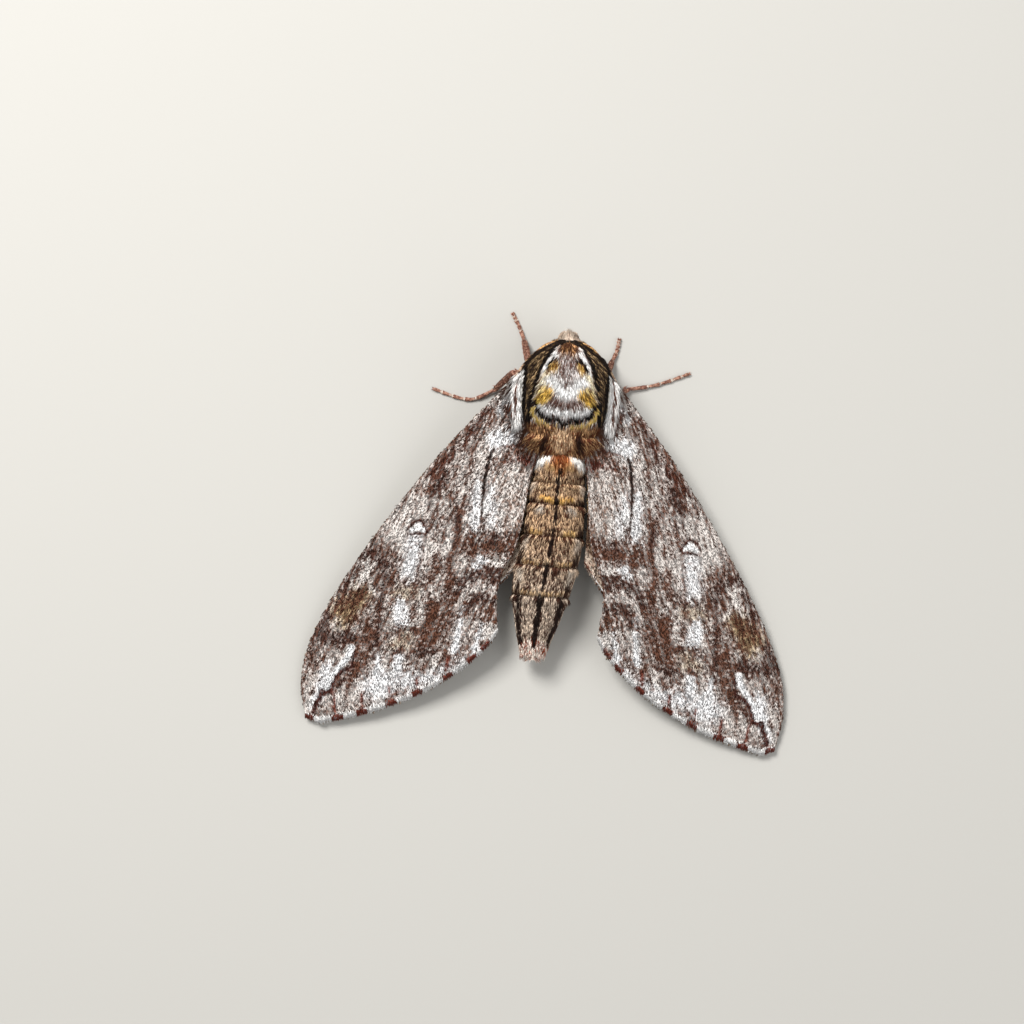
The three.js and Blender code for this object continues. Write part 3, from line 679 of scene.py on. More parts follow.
fur("brow_fur", brow_surface, ((0.0, 1.0), (-1.4, 1.4)), 2100, 55, head_paint,
    length=brow_length, thickness=(0.07, 0.11), lift=(0.0, 0.2), bend=brow_comb)

# ---------------------------------------------------------------- eyes
# Each eye is a bulging half ball of hard clear skin, cut into thousands of tiny facets, dark brown and wet
# looking. It sits in the side of the head, with a row of short stiff hairs round its inner rim.

EYE_TONES = [(0.006, 0.003, 0.002, 1), (0.032, 0.014, 0.007, 1)]
EYE_FACET, EYE_FACET_DEPTH, EYE_MOTTLE = 0.05, 0.006, 0.7

eye_finish, eye_shader, start = new_material("eye", 0.24, Specular_IOR_Level=0.22, Coat_Weight=0.1,
                                             Coat_Roughness=0.1)
place = start.node("ShaderNodeTexCoord", "Object")
mottle = start.node("ShaderNodeTexNoise", "Fac", Vector=place, Scale=1 / (EYE_MOTTLE * MM))
start.node("ShaderNodeValToRGB", "Color", {"stops": EYE_TONES}, Fac=mottle).into(eye_shader, "Base Color")
facet = start.node("ShaderNodeTexVoronoi", "Distance", Vector=place, Scale=1 / (EYE_FACET * MM))
start.node("ShaderNodeBump", "Normal", Strength=0.3, Distance=EYE_FACET_DEPTH * MM, Height=1 - facet).into(
    eye_shader, "Normal")
for letter, side in SIDES.items():
    bm = bmesh.new()
    bmesh.ops.create_icosphere(bm, subdivisions=5, radius=EYE_RADIUS * MM)
    bmesh.ops.translate(bm, verts=bm.verts[:], vec=Vector(placed(EYE_MIDDLE, side)))
    finished(smooth_mesh(bm, f"eye_{letter}"), f"eye_ball_{letter}", eye_finish, [f"eye_{letter}"])


def lashes_surface(share, angle):
    """A band round the inner edge of the right eye, from the head out over the ball."""
    polar, lean = np.radians(107 - 26 * share), np.array([0.98, 0.17])
    inwards, round_it = np.cos(polar), np.sin(polar) * np.cos(angle)
    ball = [inwards * lean[0] + round_it * lean[1], inwards * lean[1] - round_it * lean[0],
            np.sin(polar) * np.sin(angle)]
    return EYE_MIDDLE + np.stack(ball, axis=-1) * (EYE_RADIUS - 0.02)


def lashes_paint(points):
    """Plain brown and pale hairs."""
    return Paint(points[:, 0], points[:, 1], 0.62, (104, 66, 46), (222, 196, 168))


for letter, side in SIDES.items():
    fur(f"lashes_{letter}", lashes_surface, ((0.0, 0.25), ALL_ROUND), 520, 58 + side,
        lashes_paint, length=(0.3, 0.5), thickness=(0.05, 0.08), lift=(0.1, 0.3), turn=0.2, side=side)

# ---------------------------------------------------------------- tongue, palps and antennae
# Between the eyes are the coiled tongue, a horny tube of two halves, and two furry palps that turn up
# on each side of it. An antenna springs above each eye and is laid back along the side of the thorax: a
# stalk of about fifty short rings, scaled pale above, bare and rusty below, with a fine hook at its end.


def spline(points, t):
    """A smooth curve through points, at places t from 0 to 1."""
    p = np.array(points, float)
    last = len(p) - 1
    run = np.clip(np.asarray(t, float), 0, 1) * last
    i = np.minimum(run.astype(int), last - 1)
    f = (run - i)[..., None]
    a, b, c, d = (p[np.clip(i + k, 0, last)] for k in (-1, 0, 1, 2))
    return 0.5 * (2 * b + (c - a) * f + (2 * a - 5 * b + 4 * c - d) * f**2 + (3 * b - a - 3 * c + d) * f**3)


def line_through(points, side=1):
    """The smooth line through points, on the moth's own right or left side."""
    return lambda t: spline(points, t) * (side, 1, 1)


def tube(line, radius, up, cap=0.0):
    """The surface of a tube round line(t), radius(t) thick, with each end rounded over a share cap of it. Up
    is a direction that the tube never points in."""

    def surface(t, angle):
        t, step = np.asarray(t, float), 0.004
        tangent = unit(line(np.minimum(t + step, 1)) - line(np.maximum(t - step, 0)))
        side = unit(np.cross(up, tangent))
        top = np.cross(tangent, side)
        size = (radius(t) * (capped(t, cap) if cap else 1.0))[:, None]
        return line(t) + (side * np.cos(angle)[:, None] + top * np.sin(angle)[:, None]) * size

    return surface


def tube_mesh(name, around, lengthwise, surface):
    """A closed tube, shaded smooth."""
    bm = bmesh.new()
    moved_sphere(bm, around, lengthwise, surface)
    bmesh.ops.recalc_face_normals(bm, faces=bm.faces[:])
    return smooth_mesh(bm, name)


def three_radii(start, middle, end):
    """A radius that goes smoothly through three values."""
    return lambda t: start * (1 - t) * (1 - 2 * t) + 4 * middle * t * (1 - t) + end * t * (2 * t - 1)


TONGUE = {"y": 8.25, "z": 1.35, "outer": 0.95, "inner": 0.32, "turns": 1.15, "radius": 0.22}
TONGUE_COLOUR = (96, 54, 28)


def tongue_line(t):
    """The middle of the tongue, a flat coil that winds inwards."""
    turn = math.pi * 0.55 - t * TONGUE["turns"] * 2 * math.pi
    reach = TONGUE["outer"] + (TONGUE["inner"] - TONGUE["outer"]) * t
    return np.stack([0 * t, TONGUE["y"] + reach * np.cos(turn), TONGUE["z"] + reach * np.sin(turn)], axis=-1)


def tongue_radius(t):
    """The tongue gets thinner towards its tip, and has fine rings."""
    return TONGUE["radius"] * (1 - 0.25 * t) * (1 + 0.05 * np.sin(t * 170))


horn_finish = painted_material("horn", 0.38, flecks=0.3, fleck_size=0.1, bump_depth=0.02)
tongue = tube_mesh("tongue", 20, 200, tube(tongue_line, tongue_radius, SIDEWAYS, 0.03))
verts = in_mm(vertices_of(tongue))
clouds = 0.8 + 0.4 * grain(verts[:, 1], verts[:, 2], 0.1, 61)
paint_mesh(tongue, linear(TONGUE_COLOUR) * clouds[:, None])
finished(tongue, "tongue", horn_finish, ["proboscis"])

PALP_LINE = [(0.73, 8.4, 1.75), (0.71, 9.25, 2.4), (0.63, 9.7, 3.5), (0.46, 9.9, 4.75)]
PALP_FUR = 0.14
palp_radius = three_radii(0.42 - PALP_FUR, 0.56 - PALP_FUR, 0.26 - PALP_FUR)
for letter, side in SIDES.items():
    palp = line_through(PALP_LINE, side)
    mesh = tube_mesh(f"palp_skin_{letter}", 20, 30, tube(palp, palp_radius, SIDEWAYS, 0.2))
    verts = in_mm(vertices_of(mesh))
    pick = grain(verts[:, 0], verts[:, 2], 0.15, 62)
    # Painted shade: the palp's skin under its fur is darkened.
    paint_mesh(mesh, head_paint(verts).colours(pick) * SKIN_PAINTED_SHADE)
    finished(mesh, f"palp_skin_{letter}", skin_finish, [f"palp_{letter}"])
    fur(f"palp_fur_{letter}", tube(palp, palp_radius, SIDEWAYS), ((0.02, 0.99), ALL_ROUND), 1700,
        63 + side, head_paint, length=(0.3, 0.5), thickness=(0.05, 0.08), lift=(0.2, 0.42))

ANTENNA_LINE = [(0.95, 8.8, 5.85), (2.4, 8.3, 5.65), (3.7, 7.15, 5.1), (4.9, 5.7, 4.65), (6.1, 3.4, 4.7),
                (7.4, -0.6, 4.4), (8.9, -5.0, 3.8), (9.9, -8.6, 3.3), (10.0, -9.8, 3.05)]
ANTENNA_RINGS, ANTENNA_SCALES = 52, 3600
SCALE_THICKNESS = 0.03
SCALE_SINK = 0.03  # how deep the root of a scale sits in the skin
SCALE_FACES = np.array([(0, 2, 3), (0, 3, 1), (0, 1, 2), (1, 3, 2)])
# Painted shading of a scale's root, shoulders and tip: painted shade at the root, a slight painted highlight
# at the tip.
SCALE_PAINTED_SHADING = (0.62, 0.95, 0.95, 1.06)
scale_finish = painted_material("scales", 0.62, flecks=0.1, fleck_size=0.05, Specular_IOR_Level=0.2)


def scale_corners(root, along, across, out, length, width, rise):
    """A flat keeled blade for each root: its root, two shoulders and tip, in mm."""
    length, width, rise = (np.full(len(root), value)[:, None] for value in (length, width, rise))
    shoulder = root + along * length * 0.6 + out * (rise * 0.6 - SCALE_THICKNESS)
    tip = root + along * length + out * rise
    return np.stack([root, shoulder - across * width / 2, shoulder + across * width / 2, tip], axis=1)


def plain_scales(random, root, along, across, out, length, width, rise):
    """A blade for each root, whose length, width and rise each come from a range in mm."""
    sizes = [random.uniform(*size, len(root)) for size in (length, width, rise)]
    return scale_corners(root - out * SCALE_SINK, along, across, out, *sizes)


def scale_coat(name, corners, colours, places, side=1):
    """Joins lots of scales into one piece; places are those of their roots on the unwrapped map."""
    corners, colours, places = (np.concatenate(lots) for lots in (corners, colours, places))
    mesh = coat_mesh(name, placed(corners, side), SCALE_FACES, colours, places, SCALE_PAINTED_SHADING)
    finished(mesh, name, scale_finish)


def antenna_radius(t):
    """The stalk is thickest at its middle, fine at its tip, and swells a little at each ring."""
    whole = three_radii(0.25, 0.325, 0.16)(t) * (0.55 + 0.45 * np.clip(t / 0.03, 0, 1))
    return whole * (1 + 0.06 * np.abs(np.sin(t * math.pi * ANTENNA_RINGS)))


def antenna_paint(points, upper):
    """Rusty below; pale where upper is 1, gold towards the head, with a dark gap between rings of scales."""
    rings = np.sin(points[:, 1] * 7.5) > 0.55
    paint = Paint(points[:, 0], points[:, 1], 0.2, (112, 58, 36), (206, 190, 172))
    paint.lay(upper, 0.6, (118, 84, 64), (216, 202, 186))
    paint.lay(upper * np.clip((points[:, 1] - 4.2) / 3.2, 0, 1), 0.66, (116, 68, 34), (226, 176, 108))
    paint.lay(upper * rings, 0.35)
    return paint


for letter, side in SIDES.items():
    antenna = line_through(ANTENNA_LINE, side)
    mesh = tube_mesh(f"antenna_skin_{letter}", 20, 420, tube(antenna, antenna_radius, UPWARDS, 0.012))
    verts = in_mm(vertices_of(mesh))
    middle = antenna(np.linspace(0, 1, 300))
    nearest = np.argmin(np.abs(verts[:, 1:2] - middle[:, 1]), axis=1)
    upper = np.clip((verts[:, 2] - middle[nearest, 2]) / 0.1 + 0.5, 0, 1)
    pick = grain(verts[:, 0], verts[:, 1], 0.1, 64)
    paint_mesh(mesh, antenna_paint(verts, upper).colours(pick))
    finished(mesh, f"antenna_skin_{letter}", horn_finish, [f"antenna_{letter}"])

    random = np.random.default_rng(70 + side)
    t = random.uniform(0.01, 0.985, ANTENNA_SCALES)
    angle = random.uniform(-0.3, math.pi + 0.3, ANTENNA_SCALES)
    root, along, across, out = frame_on(tube(antenna, antenna_radius, UPWARDS), t, angle)
    corners = plain_scales(random, root, along, across, out, (0.16, 0.26), (0.08, 0.12), (0.015, 0.035))
    colours = antenna_paint(root, np.ones(len(t))).colours(random.random(len(t)))
    places = np.stack([t, (angle + math.pi) % (2 * math.pi) / (2 * math.pi)], axis=1)
    scale_coat(f"antenna_scales_{letter}", [corners], [colours], [places])

# ---------------------------------------------------------------- legs
# Each leg is hard tube in lengths: a stout thigh and a shin under dark scales, then a foot of five small
# joints that lies on the floor and ends in two claws. White scales ring the joints of the foot, and the
# shins of the middle and hind legs end in a pair of spurs.

FOOT_Z = 0.22
# The hip, knee, heel, arch and toe of each leg.
LEGS = {
    "fore_R": [(1.7, 4.9, 3.4), (4.5, 5.0, 3.2), (5.25, 7.3, 0.55), (5.75, 8.6, FOOT_Z),
               (5.95, 10.0, FOOT_Z)],
    "fore_L": [(-1.7, 4.9, 3.4), (-4.4, 6.2, 3.2), (-5.1, 9.0, 0.55), (-5.75, 10.5, FOOT_Z),
               (-6.65, 12.1, FOOT_Z)],
    "mid_R": [(2.2, 2.8, 2.4), (6.0, 1.6, 3.3), (7.0, 4.2, 0.55), (10.6, 5.0, FOOT_Z), (14.4, 6.6, FOOT_Z)],
    "mid_L": [(-2.2, 2.8, 2.4), (-6.0, 5.2, 3.1), (-8.1, 3.1, 0.55), (-11.1, 1.75, FOOT_Z),
              (-15.3, 2.7, FOOT_Z)],
    "hind_R": [(2.0, -1.2, 2.7), (5.7, -3.4, 3.5), (6.6, -10.0, 0.6), (6.9, -13.6, FOOT_Z),
               (7.5, -17.4, FOOT_Z)],
}
LEGS["hind_L"] = [(-x, y, z) for x, y, z in LEGS["hind_R"]]
LEG_BOW = (0, 0, 0.12)
THIGH_RADIUS, SHIN_RADIUS = three_radii(0.5, 0.55, 0.36), three_radii(0.31, 0.37, 0.26)
CLAW_RADIUS, SPUR_RADIUS = three_radii(0.09, 0.075, 0.03), three_radii(0.12, 0.1, 0.03)
FOOT_JOINTS = (0.0, 0.38, 0.56, 0.71, 0.84, 0.96)
LEG_SCALES = {"thigh": 800, "shin": 900, "foot": 800}
# The white rings of each length: their places along it and half their widths, as shares of it.
WHITE_RINGS = {"thigh": [], "shin": [(0.93, 0.025)], "foot": [(joint, 0.024) for joint in FOOT_JOINTS[1:5]]}
LEG_PAINTED_SHADE = 0.8  # painted shade: the skin of a leg under its scales is painted darker than them
LEG_VOXEL = 0.07


def foot_radius(t):
    """Five joints, the first the longest, each swelling towards its end."""
    joint = np.clip(np.searchsorted(FOOT_JOINTS, t, side="right") - 1, 0, 4)
    start, end = np.array(FOOT_JOINTS)[joint], np.array(FOOT_JOINTS)[joint + 1]
    along_joint = np.clip((t - start) / (end - start), 0, 1)
    return (0.19 + 0.07 * along_joint**2 - 0.03 * t) * (1 - 0.35 * np.exp(-(((along_joint - 1) / 0.06) ** 2)))


def leg_paint(points, ringed):
    """Rusty brown and buff scales, white where ringed is 1."""
    paint = Paint(points[:, 0], points[:, 1], 0.45, (106, 56, 42), (208, 160, 136))
    paint.lay(ringed, 0.85, None, (226, 212, 198))
    return paint


def hook(bm, points, radius):
    """Adds a claw or a spur to bm: a fine pointed tube through points."""
    moved_sphere(bm, 10, 16, tube(line_through(points), radius, (0.1, 0.2, 1), 0.1))


for name, points in LEGS.items():
    hip, knee, heel, arch, toe = (np.array(point) for point in points)
    up = unit(np.cross(knee - hip, heel - knee))
    lengths = {
        "thigh": (line_through([hip, (hip + knee) / 2 + LEG_BOW, knee]), THIGH_RADIUS, up),
        "shin": (line_through([knee, (knee + heel) / 2 + LEG_BOW, heel]), SHIN_RADIUS, up),
        "foot": (line_through([heel, arch, toe]), foot_radius, UPWARDS),
    }
    bm = bmesh.new()
    for line, radius, way in lengths.values():
        moved_sphere(bm, 24, 90, tube(line, radius, way, 0.03))
    shin_way, foot_way = unit(heel - knee), unit(toe - arch)
    aside = unit(np.cross(foot_way, UPWARDS))
    for apart in (-aside, aside):
        hook(bm, [toe - foot_way * 0.2, toe + foot_way * 0.08 + apart * 0.12 + (0, 0, 0.05),
                  toe + foot_way * 0.22 + apart * 0.2 - (0, 0, 0.14)], CLAW_RADIUS)
        if not name.startswith("fore"):
            hook(bm, [heel - shin_way * 0.6, heel - shin_way * 0.2 + apart * 0.3 + (0, 0, 0.1),
                      heel + foot_way * 0.5 + apart * 0.34 + (0, 0, 0.05)], SPUR_RADIUS)
    bmesh.ops.recalc_face_normals(bm, faces=bm.faces[:])
    mesh = remeshed(bm, f"leg_skin_{name}", LEG_VOXEL)
    for vert in mesh.vertices:
        vert.co.z = max(vert.co.z, 0.0)
    verts = in_mm(vertices_of(mesh))
    joints = lengths["foot"][0](np.array(FOOT_JOINTS[1:5]))
    ringed = 1.0 * (np.linalg.norm(verts[:, None] - joints, axis=2).min(axis=1) < 0.2)
    pick = grain(verts[:, 0] + verts[:, 2], verts[:, 1], 0.15, 71)
    # Painted shade: the leg's skin under its scales is darkened.
    paint_mesh(mesh, leg_paint(verts, ringed).colours(pick) * LEG_PAINTED_SHADE)
    nodes = [f"leg_{name}_{part}" for part in ("femur", "tibia", "tarsus")]
    finished(mesh, f"leg_skin_{name}", skin_finish, nodes)

    random = np.random.default_rng(80 + len(name) + int(abs(knee[0]) * 10))
    corners, colours, places = [], [], []
    for row, (kind, (line, radius, way)) in enumerate(lengths.items()):
        surface = tube(line, radius, way)
        t, angle = spread(surface, LEG_SCALES[kind], random, ((0.03, 0.97), ALL_ROUND))
        root, along, across, out = frame_on(surface, t, angle)
        long = random.uniform(0.22, 0.4, len(t)) * (0.7 if kind == "foot" else 1.0)
        wide = random.uniform(0.08, 0.12, len(t))
        rise = long * random.uniform(0.12, 0.34, len(t))
        corners.append(scale_corners(root - out * SCALE_SINK, along, across, out, long, wide, rise))
        ringed = sum((np.abs(t - ring) < half for ring, half in WHITE_RINGS[kind]), np.zeros(len(t)))
        colours.append(leg_paint(root, ringed).colours(random.random(len(t))))
        places.append(np.stack([t, (row + (angle + math.pi) / (2 * math.pi)) / 3], axis=1))
    corners = [np.stack([lot[..., 0], lot[..., 1], np.maximum(lot[..., 2], 0)], axis=-1) for lot in corners]
    scale_coat(f"leg_scales_{name}", corners, colours, places)

# ---------------------------------------------------------------- hindwings
# Each hindwing is a smaller sheet folded away under the forewing, so only the lobe at its hind corner shows
# beside the abdomen. It is soft and dark with an ochre root, and its fringe is chequered like the forewing's.

WING_ROOT = np.array([5.0, 5.2])
WING_TIP = np.array([27.3, -36.5])
ROOF_ROOT_Z, ROOF_TIP_Z, ROOF_FALL = 6.55, 0.72, 1.15
ROOF_LEAN, ROOF_LEAST_LEAN = 0.26, 0.05
ROOF_CAMBER, ROOF_RIDGE = 0.0035, 3.0
MEMBRANE = 0.11  # half its thickness
VEIN_RISE = 0.045
VEIN_PLACES = (0.06, 0.16, 0.27, 0.38, 0.50, 0.62, 0.74, 0.86)  # across the wing, front edge to inner edge
HINDWING = {
    "front": [(4.0, 1.6), (7.6, -4.6), (11.6, -11.2), (15.2, -17.6), (17.4, -21.6)],
    "outer": [(17.4, -21.6), (15.2, -23.8), (11.8, -23.9), (8.4, -22.0), (5.8, -19.3), (3.55, -16.2)],
    "inner": [(2.9, -3.7), (3.35, -8.0), (3.55, -12.4), (3.55, -16.2)],
}
HINDWING_DROP = 0.85
HINDWING_LIMITS = ((0.0, 0.975), (0.01, 0.985))
HINDWING_SCALES, HINDWING_FRINGE = 11000, 1500
HINDWING_FRINGE_SIZE = (0.16, 0.0)  # the width and rise of its scales
RUST, WHITE = (110, 48, 33), (240, 241, 243)


def wing_plan(outline, u, v):
    """The place on the plan of a wing, u from its root to its outer edge and v from front to inner edge."""
    front, outer, inner = outline["front"], outline["outer"], outline["inner"]
    u1, v1 = np.asarray(u)[..., None], np.asarray(v)[..., None]
    corners = [np.array(p, float) for p in (front[0], inner[0], outer[0], outer[-1])]
    return (
        spline(front, u) * (1 - v1) + spline(inner, u) * v1
        + (corners[0] + (corners[1] - corners[0]) * v1) * (1 - u1) + spline(outer, v) * u1
        - corners[0] * (1 - u1) * (1 - v1) - corners[1] * (1 - u1) * v1
        - corners[2] * u1 * (1 - v1) - corners[3] * u1 * v1
    )


def roof(x, y):
    """The height of the roof that the folded wings lie on, over any place beside the body."""
    axis = WING_TIP - WING_ROOT
    span = np.hypot(*axis)
    ox, oy = x - WING_ROOT[0], y - WING_ROOT[1]
    left = 1 - np.clip((ox * axis[0] + oy * axis[1]) / span**2, 0, 1)
    inward = -(ox * -axis[1] + oy * axis[0]) / span
    return (
        ROOF_TIP_Z + (ROOF_ROOT_Z - ROOF_TIP_Z) * left**ROOF_FALL
        + (ROOF_LEAN * left**1.5 + ROOF_LEAST_LEAN) * inward
        - ROOF_CAMBER * (inward - ROOF_RIDGE) ** 2
    )


def vein_relief(u, v):
    """Low ridges where the veins fan out under the scales."""
    ridges = sum(np.exp(-(((v - place) / 0.016) ** 2)) for place in VEIN_PLACES)
    return VEIN_RISE * ridges * np.clip(u * 4, 0, 1)


def wing_face(outline, drop, face):
    """The upper (face 1), middle (0) or lower (-1) surface of the right wing, hung drop mm under the roof."""

    def surface(u, v):
        plan = wing_plan(outline, u, v)
        z = roof(plan[..., 0], plan[..., 1]) - drop + face * MEMBRANE + vein_relief(u, v)
        return np.concatenate([plan, z[..., None]], axis=-1)

    return surface


def membrane_mesh(name, outline, side, drop, lengthwise, crosswise, limits):
    """The closed sheet of a wing, and for each vertex its u, v and whether it is on the upper face."""
    bm = bmesh.new()
    bmesh.ops.create_grid(bm, x_segments=lengthwise, y_segments=crosswise, size=0.5)
    bmesh.ops.solidify(bm, geom=bm.faces[:], thickness=1.0)
    flat = np.array([vert.co[:] for vert in bm.verts])
    (u0, u1), (v0, v1) = limits
    u, v = u0 + (u1 - u0) * (flat[:, 0] + 0.5), v0 + (v1 - v0) * (flat[:, 1] + 0.5)
    upper = flat[:, 2] > (flat[:, 2].min() + flat[:, 2].max()) / 2
    places = placed(wing_face(outline, drop, np.where(upper, 1, -1))(u, v), side)
    for vert, place in zip(bm.verts, places):
        vert.co = place
    bmesh.ops.recalc_face_normals(bm, faces=bm.faces[:])
    return smooth_mesh(bm, name), u, v, upper


def grown(random, surface, face, count, limits, turn):
    """Random roots on a face of a wing, their u and v first, with the directions of the scales there."""
    u, v = spread(surface, count, random, limits)
    root, along, across, out = frame_on(surface, u, v, face)
    return u, v, root, *turned(along, across, random.normal(0, turn, len(u))), out


def speckle(x, y, random):
    """A number from 0 to 1 for each scale, partly shared by neighbours, so that scales of a colour clump."""
    own = random.random(len(x))
    across, down = x * 0.9 + y * 0.42, y * 0.9 - x * 0.42
    shared = np.clip((grain(across, down * 0.26, 0.19, 12) - 0.5) * 1.4 + 0.5, 0, 1)
    return np.clip((0.34 * own + 0.66 * shared - 0.5) * 1.35 + 0.5, 0, 1)


def hindwing_paint(x, y):
    """Dark grey-brown, with an ochre root, a pale hind corner and a dark band."""
    paint = Paint(x, y, 0.22, (66, 44, 34), (168, 138, 106))
    paint.add([(3.4, -2), (4.2, -9)], (1.4, 1.2), 1.2, 0.6, (120, 84, 46), (206, 170, 112))
    paint.add([(3.2, -15.2), (5.2, -18.6)], (0.9, 1.1), 0.7, 0.62, (112, 70, 50), (214, 200, 184))
    paint.add([(6, -14), (12, -20)], (0.6, 0.6), 0.8, 0.1)
    return paint


def hindwing_fringe(paint, x, y, cover):
    """Turns the scales of the outer edge into a row of white and rust blocks."""
    block = np.sin((x + y) * 3.4) > 0.1
    paint.lay(cover * block, 0.0, RUST)
    paint.lay(cover * ~block, 1.0, None, WHITE)


membrane_finish = painted_material("wing membrane", 0.7, flecks=0.25, fleck_size=0.2, bump_depth=0.05,
                                   Specular_IOR_Level=0.2)
for letter, side in SIDES.items():
    name = f"hindwing_skin_{letter}"
    mesh, u, v, _ = membrane_mesh(name, HINDWING, side, HINDWING_DROP, 90, 50, HINDWING_LIMITS)
    x, y = wing_plan(HINDWING, u, v).T
    paint = hindwing_paint(x, y)
    hindwing_fringe(paint, x, y, np.clip((u - 0.955) / 0.01, 0, 1))
    paint_mesh(mesh, paint.colours(grain(x, y, 0.2, 21)))
    finished(mesh, name, membrane_finish, [f"hindwing_{letter}"])

    random = np.random.default_rng(17 if side > 0 else 18)
    corners, colours, places = [], [], []
    for face in (1, -1):
        surface = wing_face(HINDWING, HINDWING_DROP, face)
        u, v, root, along, across, out = grown(random, surface, face, HINDWING_SCALES, HINDWING_LIMITS, 0.2)
        x, y, _ = (root + along * 0.3).T
        sizes = (0.35, 0.55), (0.14, 0.2), (0.03, 0.07)
        corners.append(plain_scales(random, root, along, across, out, *sizes))
        colours.append(hindwing_paint(x, y).colours(speckle(x, y, random)))
        places.append(np.stack([u, v * 0.5 + (0.5 if face < 0 else 0.0)], axis=1))

    v = random.uniform(0.02, 0.98, HINDWING_FRINGE)
    u = random.uniform(0.955, 0.972, HINDWING_FRINGE)
    root, along, across, out = frame_on(wing_face(HINDWING, HINDWING_DROP, -1), u, v, -1)
    edge = wing_face(HINDWING, HINDWING_DROP, 0)(np.ones(len(v)), v)
    length = np.clip(np.linalg.norm(edge - root, axis=1), 0.2, 0.9) * random.uniform(0.9, 1.1, len(v))
    x, y, _ = (root + along * length[:, None]).T
    fringe = Paint(x, y, 0.9, RUST, WHITE)
    hindwing_fringe(fringe, x, y, np.ones(len(v)))
    depth = random.uniform(-0.16, -0.02, len(v))[:, None]
    corners.append(scale_corners(root + out * depth, along, across, out, length, *HINDWING_FRINGE_SIZE))
    colours.append(fringe.colours(random.random(len(v))))
    places.append(np.stack([u, v * 0.5], axis=1))
    scale_coat(f"hindwing_scales_{letter}", corners, colours, places, side)

# ---------------------------------------------------------------- forewings: the membranes
# Each forewing is a dry sheet of two membranes stretched over hollow veins, stiff along its front edge.
# At rest it is swung back over the body, and the two together make a low roof that ends near the floor.
# Both sides are covered with flat scales, so the membrane itself carries the same markings beneath them.

FOREWING = {
    "front": [(4.4, 5.9), (6.5, 3.7), (9.1, 0.8), (12.2, -2.8), (15.7, -7.4), (19.3, -12.6),
              (22.8, -18.1), (25.7, -23.4), (27.7, -28.5), (28.1, -32.8), (27.3, -36.5)],
    "outer": [(27.3, -36.5), (25.6, -36.9), (22.6, -36.15), (18.4, -34.7), (14.2, -32.6),
              (10.4, -30.0), (7.3, -27.0), (5.7, -24.6)],
    "inner": [(2.6, -3.7), (3.3, -7.5), (3.7, -11.5), (4.3, -15.0), (5.5, -17.8), (6.0, -20.5),
              (5.7, -24.6)],
}
FOREWING_LIMITS = ((0.0, 0.991), (0.006, 0.985))
BROWN, DARK_BROWN, BLACK_BROWN = (90, 55, 39), (68, 38, 27), (34, 18, 12)
PALE, GOLD, FRINGE_WHITE = (226, 220, 215), (214, 200, 180), (250, 249, 248)

